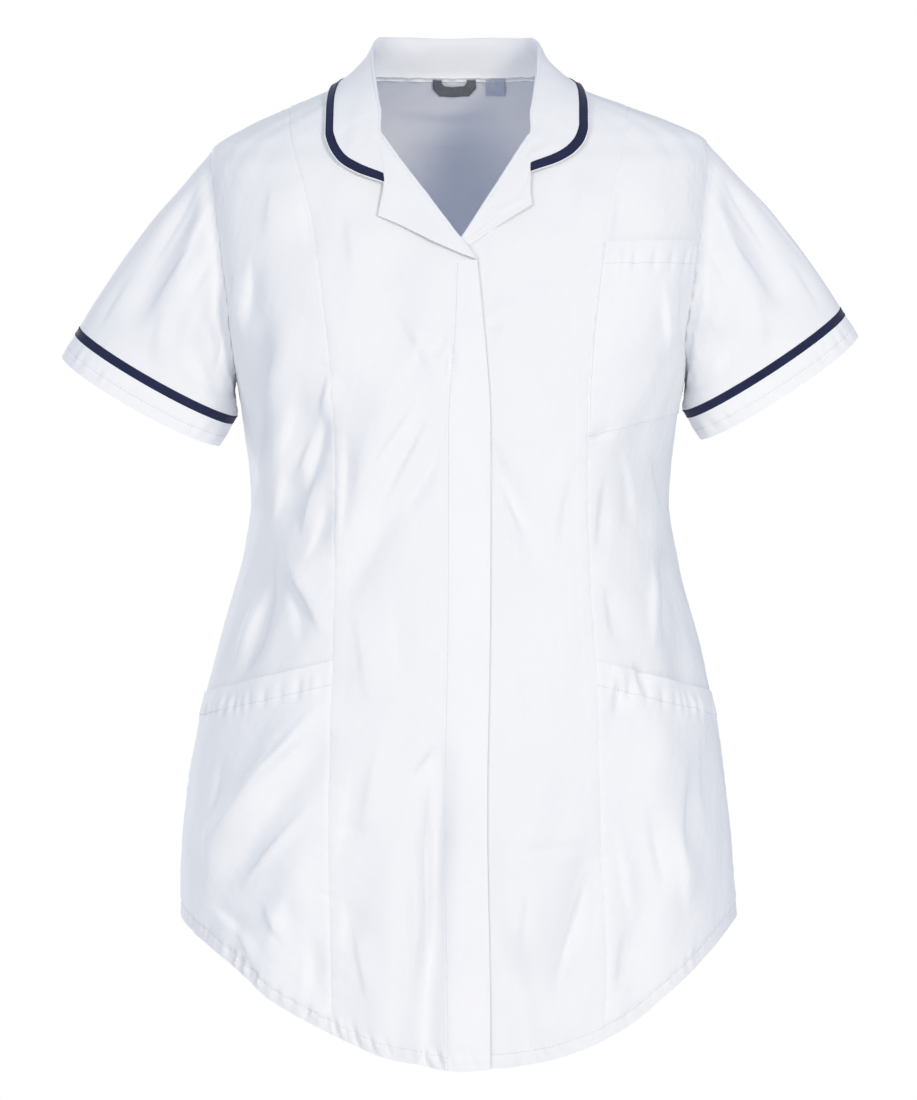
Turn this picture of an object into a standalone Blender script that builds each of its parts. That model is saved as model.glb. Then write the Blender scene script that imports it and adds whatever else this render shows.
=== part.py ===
# Maternity tunic, worn and hollow: short sleeves, round collar with contrast edge, lapels,
# princess seams, covered front fastening, two slanted hip pockets and one chest pocket.
# Sizes are in millimetres until a mesh is made. X runs to the wearer's left, Y to the back and
# Z up, from the point midway between the neck ends of the two shoulder seams.
import math

import bpy
import numpy as np

MM = 0.001
CLOTH = 1.4  # wall of the body, sleeves and collar
TRIM = 1.1  # wall of what is sewn on: pockets, placket, tapes and labels
SEAM_GAP = 0.3
LAYER_GAP = 0.45  # between a panel and what lies on it
LABEL_GAP = 1.0  # between the yoke and the loop and label inside it
BUTT_GAP = 0.6  # least distance from the middle of one wall's edge to a wall that meets it
SLEEVE_PROUD = 0.5  # how far the sleeve's seam stands proud of the back
GORGE_GAP = 0.9  # between the collar and a lapel
CLEAR_OF_SLEEVE = 3.2  # between the chest pocket and the armhole seam

WHITE = (0.86, 0.88, 0.93, 1.0)
NAVY = (0.012, 0.018, 0.07, 1.0)
GREY = (0.16, 0.16, 0.17, 1.0)
PALE_GREY = (0.42, 0.45, 0.55, 1.0)

# The body's level sections, each a rounded rectangle between the two sides.
# height, half width, depth in front, depth behind, squareness (2 is an ellipse)
SECTIONS = (
    (30, 12, 12, 24, 2.0),
    (20, 32, 22, 42, 2.0),
    (0, 75, 42, 66, 2.0),
    (-28, 145, 61, 88, 2.05),
    (-42.5, 180, 68, 95, 2.08),
    (-60, 208, 76, 102, 2.15),
    (-80, 211, 84, 108, 2.6),
    (-130, 208, 101, 116, 3.0),
    (-190, 200, 122, 117, 3.0),
    (-250, 188, 134, 112, 2.7),
    (-300, 180, 136, 104, 2.5),
    (-360, 175, 138, 97, 2.35),
    (-400, 181, 141, 97, 2.3),
    (-474, 200.5, 149, 104, 2.25),
    (-550, 217.5, 155, 114, 2.2),
    (-625, 227.6, 156, 120, 2.2),
    (-702, 232.5, 153, 124, 2.2),
    (-840, 236, 147, 127, 2.2),
)

# Seam between the centre and side fronts: height, distance from the middle on each side.
PRINCESS_SEAM = (
    # height, wearer's right, wearer's left
    (-830, 104, 115),
    (-790, 104, 117),
    (-720, 104, 119.5),
    (-643, 104, 117.5),
    (-520, 103, 113),
    (-440, 101.5, 107),
    (-357, 101, 104),
    (-275, 103.6, 104.5),
    (-190, 112.5, 111.5),
    (-150, 118, 117),
    (-107, 125.5, 125.5),
    (-68, 136, 136),
    (-44, 140.5, 140.5),
    (-20, 141, 141),
)

# Curved hem: distance from the middle, height on each side. The back follows the same curve.
HEM = (
    # distance, wearer's right, wearer's left, back
    (0, -819, -812, -800),
    (25, -817, -816.5, -798),
    (50, -810, -815, -793),
    (75, -802, -810, -786),
    (104, -789.5, -800.5, -774),
    (132, -776, -787, -760),
    (152, -764, -774.5, -748),
    (167, -751, -762.5, -738),
    (182, -740, -749.5, -728),
    (197, -729, -736.5, -719),
    (211, -719, -722.5, -711),
    (224, -709.5, -710, -704),
    (233, -702, -702, -700),
)
HEM_TURN = 12.5  # height of the stitched turn-up

# Opening edge of each front, from the hem up to the bottom of the V, and on to the shoulder.
FRONT_EDGE = (
    # height, x of the upper front's edge, x of its fastening's stitch line, x of the lower front's edge
    (-830, 24.5, -11.5, -12.5),
    (-300, 24.5, -11.5, -12.5),
    (-218, 19.5, -6, -11),
    (-157, 13.8, -4, -8.5),
)
NECK_EDGE = (
    # height, distance from the middle, from the bottom of the V to the shoulder
    (-146, 0.0),
    (-120, 18.4),
    (-97, 34.5),
    (-80, 46.3),
    (-60, 59),
    (-40, 65.5),
    (-20, 71),
    (0, 75),
)
UPPER_TOP, LOWER_TOP = -162.0, -157.0  # where each front's own edge meets its turned-back lapel

ARMPIT, SHOULDER = -250.0, -60.0
ARMHOLE_REACH = 27.0  # how far round the armhole comes in front and behind, in degrees
ARMHOLE_ROUNDNESS = 0.8

# Heights of the key rows at the princess seam and at the side, with the cells up to the next row.
MOUTH_PRINCESS, MOUTH_SIDE = -487.5, -517.0  # slanted mouth of the hip pockets
FOOT_PRINCESS, FOOT_SIDE = -307.0, -286.0  # foot of the chest pocket
POCKET_TOP = -146.0  # top of the chest pocket at the princess seam
POCKET_TOP_AT_ARM = 84.0  # the same row, as an angle round the armhole from the shoulder
UNDERARM_PRINCESS = -262.0  # the armpit's row, at the princess seam
ROWS = {"hem": 1, "skirt": 8, "waist": 6, "chest": 2, "arm": 7, "shoulder": 9}
YOKE_STEPS = 6  # armhole steps below the shoulder where the yoke seam crosses the back armhole
YOKE_CENTRE = -66.0  # height of the yoke seam at centre back
NECK_BACK = 5.0  # height of the neck seam at centre back
NECK_BACK_ROUNDNESS = 0.8
SHOULDER_CELLS = 6  # of the back's columns, over each shoulder
YOKE_CROWDING = 1.7  # how much the yoke's rows crowd towards the neck
CROWD_SHARE = 0.25  # share of the yoke's width over which that sets in
FOLLOW_SHARE = 0.3  # share of the yoke's width that follows the armhole's bulge

SIDE_COLUMNS, FRONT_COLUMNS, PLACKET_COLUMNS, BACK_COLUMNS = 8, 7, 3, 22
UPPER_COLUMN_SHARE = 0.16  # where the stitch line's column runs on above the fastening
LOWER_COLUMN_SHARE = 0.3  # the same for the underlap's column
UNDERLAP_DROP = 2.6  # how far the lower front lies inside the upper one
UNDERLAP_FADE = 16.0

# Main folds of the front and back as the photo shows them, each a soft trough or ridge that
# fades out towards its ends. Those of the hem run on past it.
# from x, height, to x, height, half width, rise near its start and end (minus is a trough)
FRONT_FOLDS = (
    (-13, -520, -16, -680, 12, -3.0, -8.0),
    (-15, -560, -36, -900, 13, -8.0, -12.0),
    (-48, -600, -66, -920, 20, 4.0, 6.0),
    (-14, -265, -98, -450, 13, -3.0, -6.0),
    (-42, -245, -108, -420, 17, 3.0, 4.0),
    (-102, -500, -215, -660, 14, 4.0, 6.0),
    (-98, -535, -205, -690, 13, -4.0, -6.0),
    (-112, -620, -170, -790, 17, 4.0, 4.0),
    (-164, -190, -182, -370, 13, -5.0, -4.0),
    (-140, -190, -150, -380, 14, 4.0, 4.0),
    (-116, -260, -142, -390, 12, -4.0, -5.0),
    (-152, -370, -190, -540, 12, -4.0, -6.0),
    (-130, -380, -110, -500, 17, 4.0, 2.0),
    (173, -370, 189, -540, 12, -4.0, -6.0),
    (152, -270, 140, -410, 18, -4.0, -3.0),
    (24, -295, 74, -440, 14, -4.0, -3.0),
    (62, -560, 54, -760, 20, 3.0, 4.0),
    (112, -620, 78, -790, 13, -5.0, -6.0),
    (42, -700, 66, -900, 14, -4.0, -6.0),
    (155, -520, 190, -700, 20, 4.0, 4.0),
    (137, -590, 154, -800, 17, -4.0, -4.0),
    (-62, -135, -50, -255, 22, -4.0, -3.0),
    (60, -140, 72, -260, 26, -3.5, -2.0),
)
BACK_FOLDS = (
    (-30, -400, -54, -900, 19, -4.0, -11.0),
    (42, -410, 66, -900, 19, -4.0, -11.0),
    (4, -470, 8, -900, 23, 2.0, 7.0),
    (-105, -460, -146, -860, 19, -3.0, -9.0),
    (116, -450, 156, -860, 19, -3.0, -9.0),
    (-176, -235, -40, -370, 15, -5.0, -4.0),
    (178, -230, 48, -375, 15, -5.0, -4.0),
    (-160, -315, -25, -415, 14, 4.0, 5.0),
    (160, -315, 30, -420, 14, 4.0, 5.0),
    (-78, -100, -94, -270, 25, -4.0, -3.0),
    (80, -100, 96, -270, 25, -4.0, -3.0),
)
FOLD_TAPER = 0.3  # share of a fold's length over which each end fades out
FOLD_CLEAR_OF_SIDE = 0.3  # share of a section's depth over which folds fade out at the side

# Pose of the hanging cloth: the neck leans to one side and the shoulders tilt a little.
NECK_LEAN, NECK_LEAN_REACH = -5.0, 125.0
SHOULDER_TILT, TILT_START, TILT_EASE = 0.042, 128.0, 10.0
HIP_SWAY, HIP_SWAY_HEIGHT, HIP_SWAY_REACH = -2.8, -610.0, 110.0

# The sleeve: front-view corners of its lower edge and of the cuff's edge, one side.
SLEEVE_OUTER, SLEEVE_INNER = (318.5, -202.0), (187.5, -282.5)
TAPE_WIDTH, CUFF_WIDTH = 7.5, 21.0
CUFF_DEPTH = 43.0  # half its depth from front to back
TAPE_DIP, HEM_DIP = 8.0, 9.0  # how much lower the middle of the front hangs than the ends
SLEEVE_ROWS = 8
SLEEVE_FOLDS = (
    # turn from the top in degrees, share of the length, to turn, share, half width, rise at each end
    (28, 0.02, 62, 0.85, 13, -3.0, -5.0),
    (62, 0.15, 86, 0.95, 14, 3.0, 3.0),
    (112, 0.20, 118, 0.80, 13, -3.5, -3.0),
    (148, 0.10, 140, 0.90, 12, 3.0, 2.0),
    (-40, 0.05, -70, 0.90, 14, -3.0, -4.5),
    (-105, 0.20, -112, 0.85, 14, -3.0, -3.0),
)

# The collar, from centre back round to where the lapels join it.
COLLAR = (
    # share of the neck seam, crest x, y, z, edge x, y, z
    (0.00, 0, 58, 37.5, 0, 86, -15),
    (0.18, 36, 54, 37.5, 45, 79, -15),
    (0.36, 63, 36, 36, 83, 57, -14),
    (0.50, 70.5, 11, 26, 92, 16, -9),
    (0.62, 69.5, -21, 9, 104, -19, -17),
    (0.75, 66.5, -47, -14, 108, -50, -38),
    (0.84, 63.5, -61, -30, 108.5, -64, -54),
    (0.88, 62, -66, -37, 105.5, -70, -65),
    (0.92, 60.5, -70, -44, 97.5, -77, -76.5),
    (0.96, 59.5, -75, -51, 82, -84, -86),
    (1.00, 59, -80, -57, 60, -88, -94),
)
COLLAR_CELLS = ((0.0, 8), (0.5, 5), (0.84, 7), (1.0, 0))  # from each share, cells to the next
GORGE = -60.0  # height on the neck seam where the collar ends and the lapel begins
COLLAR_DROP = 5.0  # how much lower the collar's front hangs on the wearer's right, and higher on the left
COLLAR_TAPE_WIDTH = 8.5
ROLL, NARROW_ROLL = 2.6, 0.22  # radius of the rolled crest, and its share of a narrow lapel
STAND_ROWS, FALL_ROWS = 2, 4
EDGE_LIFT, FALL_LIFT = 3.2, 2.7  # from the body to the collar's edge, and at least to its fall
FALL_EASE = 0.8
LOWEST_HEART = 2.4  # of the roll's centre above the body

# The lapels below the gorge: where each is folded on the neck edge, and its outer edge.
UPPER_LAPEL = (
    # fold x, height, edge x, height
    (-46.0, -80.0, -63.0, -111.0),
    (-32.0, -100.0, -66.5, -125.5),
    (-19.0, -119.0, -46.5, -134.5),
    (-5.0, -139.0, -20.0, -148.5),
    (7.2, -154.4, 2.4, -158.3),
)
LOWER_LAPEL = (
    (46.0, -80.0, 59.0, -105.0),
    (33.6, -98.5, 59.5, -116.8),
    (19.0, -119.0, 36.0, -131.0),
    (5.0, -139.0, 13.7, -145.2),
)
LAPEL_CELLS = 2  # cells between two of a lapel's places

LOOP_WIDTH, LOOP_HEIGHT, LOOP_BAND, LOOP_CORNER = 38.0, 14.0, 7.5, 6.0
LABEL_LEFT, LABEL_RIGHT, LABEL_HEIGHT = 27.0, 45.0, 13.0


def clear_scene():
    for thing in list(bpy.data.objects):
        bpy.data.objects.remove(thing)


def material(name, colour, roughness=0.85):
    made = bpy.data.materials.get(name) or bpy.data.materials.new(name)
    made.use_nodes = True
    shader = made.node_tree.nodes["Principled BSDF"]
    shader.inputs["Base Color"].default_value = colour
    shader.inputs["Roughness"].default_value = roughness
    shader.inputs["Metallic"].default_value = 0.0
    made.diffuse_color = colour
    return made


def smooth(share):
    share = np.clip(share, 0.0, 1.0)
    return share * share * (3 - 2 * share)


def curve(knots, values):
    """A smooth curve through the points that never swings past them."""
    order = np.argsort(knots)
    knots, values = np.asarray(knots, float)[order], np.asarray(values, float)[order]
    step = np.diff(knots)
    slope = np.diff(values) / step
    product = slope[:-1] * slope[1:]
    total = np.where(product > 0, slope[:-1] + slope[1:], 1.0)
    tangent = np.concatenate([slope[:1], np.where(product > 0, 2 * product / total, 0.0), slope[-1:]])

    def at(x):
        x = np.clip(x, knots[0], knots[-1])
        i = np.clip(np.searchsorted(knots, x) - 1, 0, len(step) - 1)
        t = (x - knots[i]) / step[i]
        rise = 3 * t**2 - 2 * t**3
        lead = (t - 2 * t**2 + t**3) * step[i] * tangent[i]
        trail = (t**3 - t**2) * step[i] * tangent[i + 1]
        return values[i] + rise * (values[i + 1] - values[i]) + lead + trail

    return at


def column(table, index):
    return [row[index] for row in table]


half_width = curve(column(SECTIONS, 0), column(SECTIONS, 1))
front_depth = curve(column(SECTIONS, 0), column(SECTIONS, 2))
back_depth = curve(column(SECTIONS, 0), column(SECTIONS, 3))
squareness = curve(column(SECTIONS, 0), column(SECTIONS, 4))


def plain_body(angle, height):
    """The body without folds, at an angle from centre front and a height."""
    turn = np.radians(angle)
    across, ahead = np.sin(turn), np.cos(turn)
    power = squareness(height)
    reach = (np.abs(across) ** power + np.abs(ahead) ** power) ** (-1 / power)
    depth = np.where(ahead > 0, front_depth(height), back_depth(height))
    x = half_width(height) * reach * across
    y = -depth * reach * ahead
    return np.stack([x, y, height + 0 * x], axis=-1)


def normals(surface, angle, height):
    """Outward normals of a surface given by angle and height."""
    small_turn, small_rise = 0.2, 0.4
    round_it = surface(angle + small_turn, height) - surface(angle - small_turn, height)
    up_it = surface(angle, height + small_rise) - surface(angle, height - small_rise)
    found = np.cross(round_it, up_it)
    return found / np.linalg.norm(found, axis=-1, keepdims=True)


def fold_rise(x, z, folds):
    """The height of the troughs and ridges at points of a flat view."""
    rise = np.zeros(np.shape(x))
    for x0, z0, x1, z1, width, start, end in folds:
        run = (x1 - x0) ** 2 + (z1 - z0) ** 2
        along = np.clip(((x - x0) * (x1 - x0) + (z - z0) * (z1 - z0)) / run, 0, 1)
        away = (x - x0 - along * (x1 - x0)) ** 2 + (z - z0 - along * (z1 - z0)) ** 2
        taper = smooth(along / FOLD_TAPER) * smooth((1 - along) / FOLD_TAPER)
        rise += (start + along * (end - start)) * taper * np.exp(-away / width**2)
    return rise


def folded_body(angle, height):
    base = plain_body(angle, height)
    ahead = -base[..., 1]
    depth = np.where(ahead > 0, front_depth(height), back_depth(height))
    clear = smooth(np.abs(ahead) / depth / FOLD_CLEAR_OF_SIDE)
    front = fold_rise(base[..., 0], base[..., 2], FRONT_FOLDS)
    back = fold_rise(base[..., 0], base[..., 2], BACK_FOLDS)
    rise = clear * np.where(ahead > 0, front, back)
    return base + normals(plain_body, angle, height) * rise[..., None]


def on_body(angle, height, lift=0.0):
    """Points of the cloth's middle layer, moved out by lift."""
    angle, height = np.asarray(angle, float), np.asarray(height, float)
    lift = np.asarray(lift, float)
    return folded_body(angle, height) + normals(folded_body, angle, height) * lift[..., None]


def angle_at(x, height):
    """The angle from centre front of a point of the front, seen from the front."""
    share = np.clip(np.abs(x) / half_width(height), 0, 1)
    power = squareness(height)
    ahead = (1 - share**power) ** (1 / power)
    return np.sign(x) * np.degrees(np.arctan2(share, ahead))


def posed(points):
    """Leans the neck and tilts the shoulders of finished points."""
    x, y, z = points[..., 0], points[..., 1], points[..., 2]
    lean = NECK_LEAN * smooth((z + 150) / 110) * np.exp(-((x / NECK_LEAN_REACH) ** 2))
    beyond = TILT_EASE * np.logaddexp(0, (np.abs(x) - TILT_START) / TILT_EASE)
    tilt = SHOULDER_TILT * np.sign(x) * beyond * smooth((z + 430) / 160)
    sway = HIP_SWAY * np.exp(-(((z - HIP_SWAY_HEIGHT) / HIP_SWAY_REACH) ** 2))
    return np.stack([x + lean + sway, y, z + tilt], axis=-1)


def solid(name, outer, inner, finish, closed=False):
    """A wall between two grids of points, closed round its rim, or round a tube's two ends."""
    rows, columns = outer.shape[:2]
    points = np.concatenate([outer.reshape(-1, 3), inner.reshape(-1, 3)])
    number = np.arange(rows * columns).reshape(rows, columns)
    if closed:
        number = np.concatenate([number, number[:, :1]], axis=1)
    a, b, c, d = number[:-1, :-1], number[1:, :-1], number[1:, 1:], number[:-1, 1:]
    out = np.concatenate([np.stack(t, -1).reshape(-1, 3) for t in ((a, b, c), (a, c, d))])
    back = rows * columns
    rims = [number[0], number[-1, ::-1]]
    if not closed:
        rims += [number[::-1, 0], number[:, -1]]
    walls = []
    for rim in rims:
        p, q = rim[:-1], rim[1:]
        walls += [np.stack([q, p, p + back], -1), np.stack([q, p + back, q + back], -1)]
    faces = np.concatenate([out, out[:, ::-1] + back] + [w[:, ::-1] for w in walls])
    corners = points[faces]
    if np.linalg.det(corners - points.mean(axis=0)).sum() < 0:
        faces = faces[:, ::-1]
    mesh = bpy.data.meshes.new(name)
    mesh.from_pydata((posed(points) * MM).tolist(), [], faces.tolist())
    mesh.update()
    mesh.materials.append(finish)
    mesh.shade_smooth()
    mesh.set_sharp_from_angle(angle=math.radians(50))
    made = bpy.data.objects.new(name, mesh)
    bpy.context.scene.collection.objects.link(made)
    return made


def unit(vectors):
    return vectors / np.linalg.norm(vectors, axis=-1, keepdims=True)


def toward(points, neighbours, distance):
    return unit(neighbours - points) * distance


def butt_gap(direction, body_out):
    """How far a wall starts from the edge that it meets, by how steeply it leaves the body."""
    steep = np.abs((direction * body_out).sum(axis=-1, keepdims=True))
    return BUTT_GAP + CLOTH / 2 * steep


def square_to(edge, within, out, distance):
    """A move in from an edge, within the cloth and square to that edge."""
    inward = unit(np.cross(np.gradient(edge, axis=0), out))
    return inward * np.sign((inward * (within - edge)).sum()) * distance


def inset(grid, out, gaps):
    """How far each border point of a grid moves in, at its first and last row and column."""
    bottom, top, first, last = gaps
    move = np.zeros_like(grid)
    move[0] += toward(grid[0], grid[1], bottom)
    move[-1] += toward(grid[-1], grid[-2], top)
    move[:, 0] += square_to(grid[:, 0], grid[:, 3], out[:, 0], first)
    move[:, -1] += square_to(grid[:, -1], grid[:, -4], out[:, -1], last)
    return move


def panel(name, angle, height, finish, lift=0.0, wall=CLOTH, gaps=(SEAM_GAP / 2,) * 4):
    """A cloth piece on the body, from its grid of angles and heights."""
    lift = np.broadcast_to(np.asarray(lift, float), angle.shape)
    move = inset(on_body(angle, height, lift), normals(folded_body, angle, height), gaps)
    outer = on_body(angle, height, lift + wall / 2) + move
    inner = on_body(angle, height, lift - wall / 2) + move
    return solid(name, outer, inner, finish)


def spread(path, keys, counts):
    """Points along a path of angles and heights, evenly spaced between its key places."""
    step = np.linalg.norm(np.diff(plain_body(path[:, 0], path[:, 1]), axis=0), axis=1)
    length = np.concatenate([[0], np.cumsum(step)])
    places = [length[key] for key in keys]
    marks = [np.linspace(p, q, n, endpoint=False) for p, q, n in zip(places, places[1:], counts)]
    marks = np.concatenate(marks + [[places[-1]]])
    return np.stack([np.interp(marks, length, path[:, 0]), np.interp(marks, length, path[:, 1])], 1)


def nearest(values, wanted):
    return [int(np.argmin(np.abs(values - w))) for w in wanted]


def hem_height(angle, index):
    """The hem's height at an angle, from the table of distances from the middle."""
    x = np.linspace(0, 232.5, 400)
    z = curve(column(HEM, 0), column(HEM, index))(x)
    turn = np.abs(angle_at(x, z))
    away = np.abs((np.asarray(angle) + 180) % 360 - 180)
    away = np.where(away > 90, 180 - away, away)
    return np.interp(away, turn, z)


def armhole(side, behind, steps=400):
    """One half of an armhole's outline, from the armpit up to the shoulder."""
    turn = np.radians(np.linspace(180, 0, steps))
    height = (ARMPIT + SHOULDER) / 2 - (ARMPIT - SHOULDER) / 2 * np.cos(turn)
    reach = ARMHOLE_REACH * np.sin(turn) ** ARMHOLE_ROUNDNESS
    angle = side * (90 + reach) if behind else side * (90 - reach)
    return np.stack([angle, height], axis=1)


def armhole_steps(side, behind):
    path = armhole(side, behind)
    top_row = int(len(path) * (1 - POCKET_TOP_AT_ARM / 180))
    return spread(path, [0, top_row, len(path) - 1], [ROWS["arm"], ROWS["shoulder"]])


def side_edge(side, behind):
    """The side seam's rows from hem to armpit, and then the armhole's."""
    hem = float(hem_height(90.0, 1))
    height = np.linspace(hem, ARMPIT, 800)
    path = np.stack([np.full(800, side * 90.0), height], axis=1)
    keys = nearest(height, [hem, hem + HEM_TURN, MOUTH_SIDE, FOOT_SIDE, ARMPIT])
    seam = spread(path, keys, [ROWS["hem"], ROWS["skirt"], ROWS["waist"], ROWS["chest"]])
    return np.concatenate([seam, armhole_steps(side, behind)[1:]])


def ridge_height(x):
    heights = np.linspace(-60, 20, 801)
    return float(np.interp(-abs(x), -half_width(heights), heights))


def front_path(x_of, bottom, top, count=1200):
    """A dense path up the front, with more points where it rounds over the shoulder."""
    height = bottom + (top - bottom) * np.sin(np.linspace(0, math.pi / 2, count))
    return np.stack([angle_at(x_of(height), height), height], axis=1)


def all_rows():
    return [ROWS[name] for name in ("hem", "skirt", "waist", "chest", "arm", "shoulder")]


def princess_edge(side):
    distance = curve(column(PRINCESS_SEAM, 0), column(PRINCESS_SEAM, 1 if side < 0 else 2))
    top = ridge_height(distance(-32.0))
    start = float(hem_height(angle_at(distance(-795.0), -795.0), 1 if side < 0 else 2))
    path = front_path(lambda z: side * distance(z), start, top)
    marks = [start, start + HEM_TURN, MOUTH_PRINCESS, FOOT_PRINCESS, UNDERARM_PRINCESS, POCKET_TOP]
    keys = nearest(path[:, 1], marks) + [len(path) - 1]
    return spread(path, keys, all_rows())


def opening_edge(side, upper, x_of, corner):
    """A front's own edge up to its lapel, and then the neck edge up to the shoulder."""
    start = float(hem_height(angle_at(x_of(-815.0), -815.0), 1 if upper else 2))
    height = np.linspace(start, corner, 900)
    own = np.stack([angle_at(x_of(height), height), height], axis=1)
    distance = curve(column(NECK_EDGE, 0), column(NECK_EDGE, 1))
    # The fold line runs on below the V to meet the front's own edge.
    meeting = x_of(corner) * side
    below = np.array([[meeting, corner]])
    rise = NECK_EDGE[0][0] * (1 - np.sin(np.linspace(0, math.pi / 2, 600)))
    line = np.concatenate([below, np.stack([distance(rise), rise], axis=1)])
    neck = np.stack([angle_at(side * line[:, 0], line[:, 1]), line[:, 1]], axis=1)
    path = np.concatenate([own[:-1], neck])
    marks = [start, start + HEM_TURN, MOUTH_PRINCESS, FOOT_PRINCESS, UNDERARM_PRINCESS]
    keys = nearest(own[:, 1], marks) + [len(own) - 1, len(path) - 1]
    return spread(path, keys, all_rows())


def between(first, second, columns):
    """A grid of angles and heights between two edges with the same rows."""
    share = np.linspace(0, 1, columns + 1)
    angle = first[:, :1] + (second[:, :1] - first[:, :1]) * share
    across = np.sin(np.radians(angle))
    span = across[:, -1:] - across[:, :1]
    eased = np.where(np.abs(span) > 0.05, (across - across[:, :1]) / np.where(span == 0, 1, span), share)
    low = smooth((UNDERARM_PRINCESS - first[:, 1:]) / 60 + 0.5)
    mixed = low * eased + (1 - low) * share
    height = first[:, 1:] + (second[:, 1:] - first[:, 1:]) * mixed
    return angle, height


def curve_hem(angle, height, index):
    """Bends the lowest rows of a grid to the hem's curve."""
    last = ROWS["hem"] + ROWS["skirt"]
    wanted = hem_height(angle[0], index)
    share = np.zeros(len(height))
    share[: last + 1] = 1 - np.arange(last + 1) / last
    share[1] = 1.0
    share[2 : last + 1] = np.linspace(1, 0, last)[1:]
    rise = (wanted - height[0])[None, :] * share[:, None]
    rise[1] = wanted + HEM_TURN - height[1]
    return height + rise


def side_front(side, name):
    angle, height = between(princess_edge(side), side_edge(side, False), SIDE_COLUMNS)
    height = curve_hem(angle, height, 1 if side < 0 else 2)
    panel(name, angle, height, WHITE_CLOTH)
    return angle, height


def upper_front():
    """The wearer's right front, which closes over the other."""
    edge = curve(column(FRONT_EDGE, 0), column(FRONT_EDGE, 1))
    stitch = curve(column(FRONT_EDGE, 0), column(FRONT_EDGE, 2))
    open_edge = opening_edge(-1, True, edge, UPPER_TOP)
    rows_to_neck = len(open_edge) - ROWS["shoulder"]
    inner = open_edge.copy()
    inner[:rows_to_neck, 0] = angle_at(stitch(inner[:rows_to_neck, 1]), inner[:rows_to_neck, 1])
    # Above the fastening the stitch line's column runs on beside the fold of the lapel.
    princess = princess_edge(-1)
    above = np.arange(rows_to_neck, len(inner))
    inner[above] = open_edge[above] + (princess[above] - open_edge[above]) * UPPER_COLUMN_SHARE
    wide_angle, wide_height = between(princess, inner, FRONT_COLUMNS)
    band_angle, band_height = between(inner, open_edge, PLACKET_COLUMNS)
    angle = np.concatenate([wide_angle, band_angle[:, 1:]], axis=1)
    height = np.concatenate([wide_height, band_height[:, 1:]], axis=1)
    height = curve_hem(angle, height, 1)
    panel("front_right", angle, height, WHITE_CLOTH)
    band = slice(FRONT_COLUMNS, None)
    rows = slice(0, rows_to_neck)
    lift = CLOTH / 2 + LAYER_GAP + TRIM / 2
    panel("placket", angle[rows, band], height[rows, band], WHITE_TRIM, lift, TRIM)


def lower_front():
    """The wearer's left front, whose edge lies under the other."""
    edge = curve(column(FRONT_EDGE, 0), column(FRONT_EDGE, 3))
    over = curve(column(FRONT_EDGE, 0), column(FRONT_EDGE, 1))
    open_edge = opening_edge(1, False, edge, LOWER_TOP)
    princess = princess_edge(1)
    rows_to_neck = len(open_edge) - ROWS["shoulder"]
    middle = open_edge.copy()
    low = middle[:rows_to_neck]
    low[:, 0] = angle_at(over(low[:, 1]) + UNDERLAP_FADE, low[:, 1])
    above = np.arange(rows_to_neck, len(middle))
    middle[above] = open_edge[above] + (princess[above] - open_edge[above]) * LOWER_COLUMN_SHARE
    under_angle, under_height = between(open_edge, middle, PLACKET_COLUMNS)
    wide_angle, wide_height = between(middle, princess, FRONT_COLUMNS)
    angle = np.concatenate([under_angle, wide_angle[:, 1:]], axis=1)
    height = np.concatenate([under_height, wide_height[:, 1:]], axis=1)
    height = curve_hem(angle, height, 2)
    x = plain_body(angle, height)[..., 0]
    reach = over(height)
    drop = 1 - smooth((x - reach - 1.0) / (UNDERLAP_FADE - 1.0))
    rows = np.arange(len(height))[:, None]
    fade = smooth((len(height) - 1 - rows) / ROWS["shoulder"])
    panel("front_left", angle, height, WHITE_CLOTH, -UNDERLAP_DROP * drop * fade)


def pockets(grids):
    lift = CLOTH / 2 + LAYER_GAP + TRIM / 2
    low, high = ROWS["hem"], ROWS["hem"] + ROWS["skirt"] + 1
    for side, name in ((-1, "hip_pocket_right"), (1, "hip_pocket_left")):
        angle, height = grids[side]
        panel(name, angle[low:high], height[low:high], WHITE_TRIM, lift, TRIM)
    angle, height = grids[1]
    low = ROWS["hem"] + ROWS["skirt"] + ROWS["waist"]
    high = low + ROWS["chest"] + ROWS["arm"] + 1
    edges = (SEAM_GAP / 2, SEAM_GAP / 2, SEAM_GAP / 2, CLEAR_OF_SLEEVE)
    panel("chest_pocket", angle[low:high], height[low:high], WHITE_TRIM, lift, TRIM, edges)


def neck_back_height(turn):
    """The height of the neck seam round the back, at an angle from centre front."""
    return NECK_BACK * np.sin(np.radians(turn - 90)) ** NECK_BACK_ROUNDNESS


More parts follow.
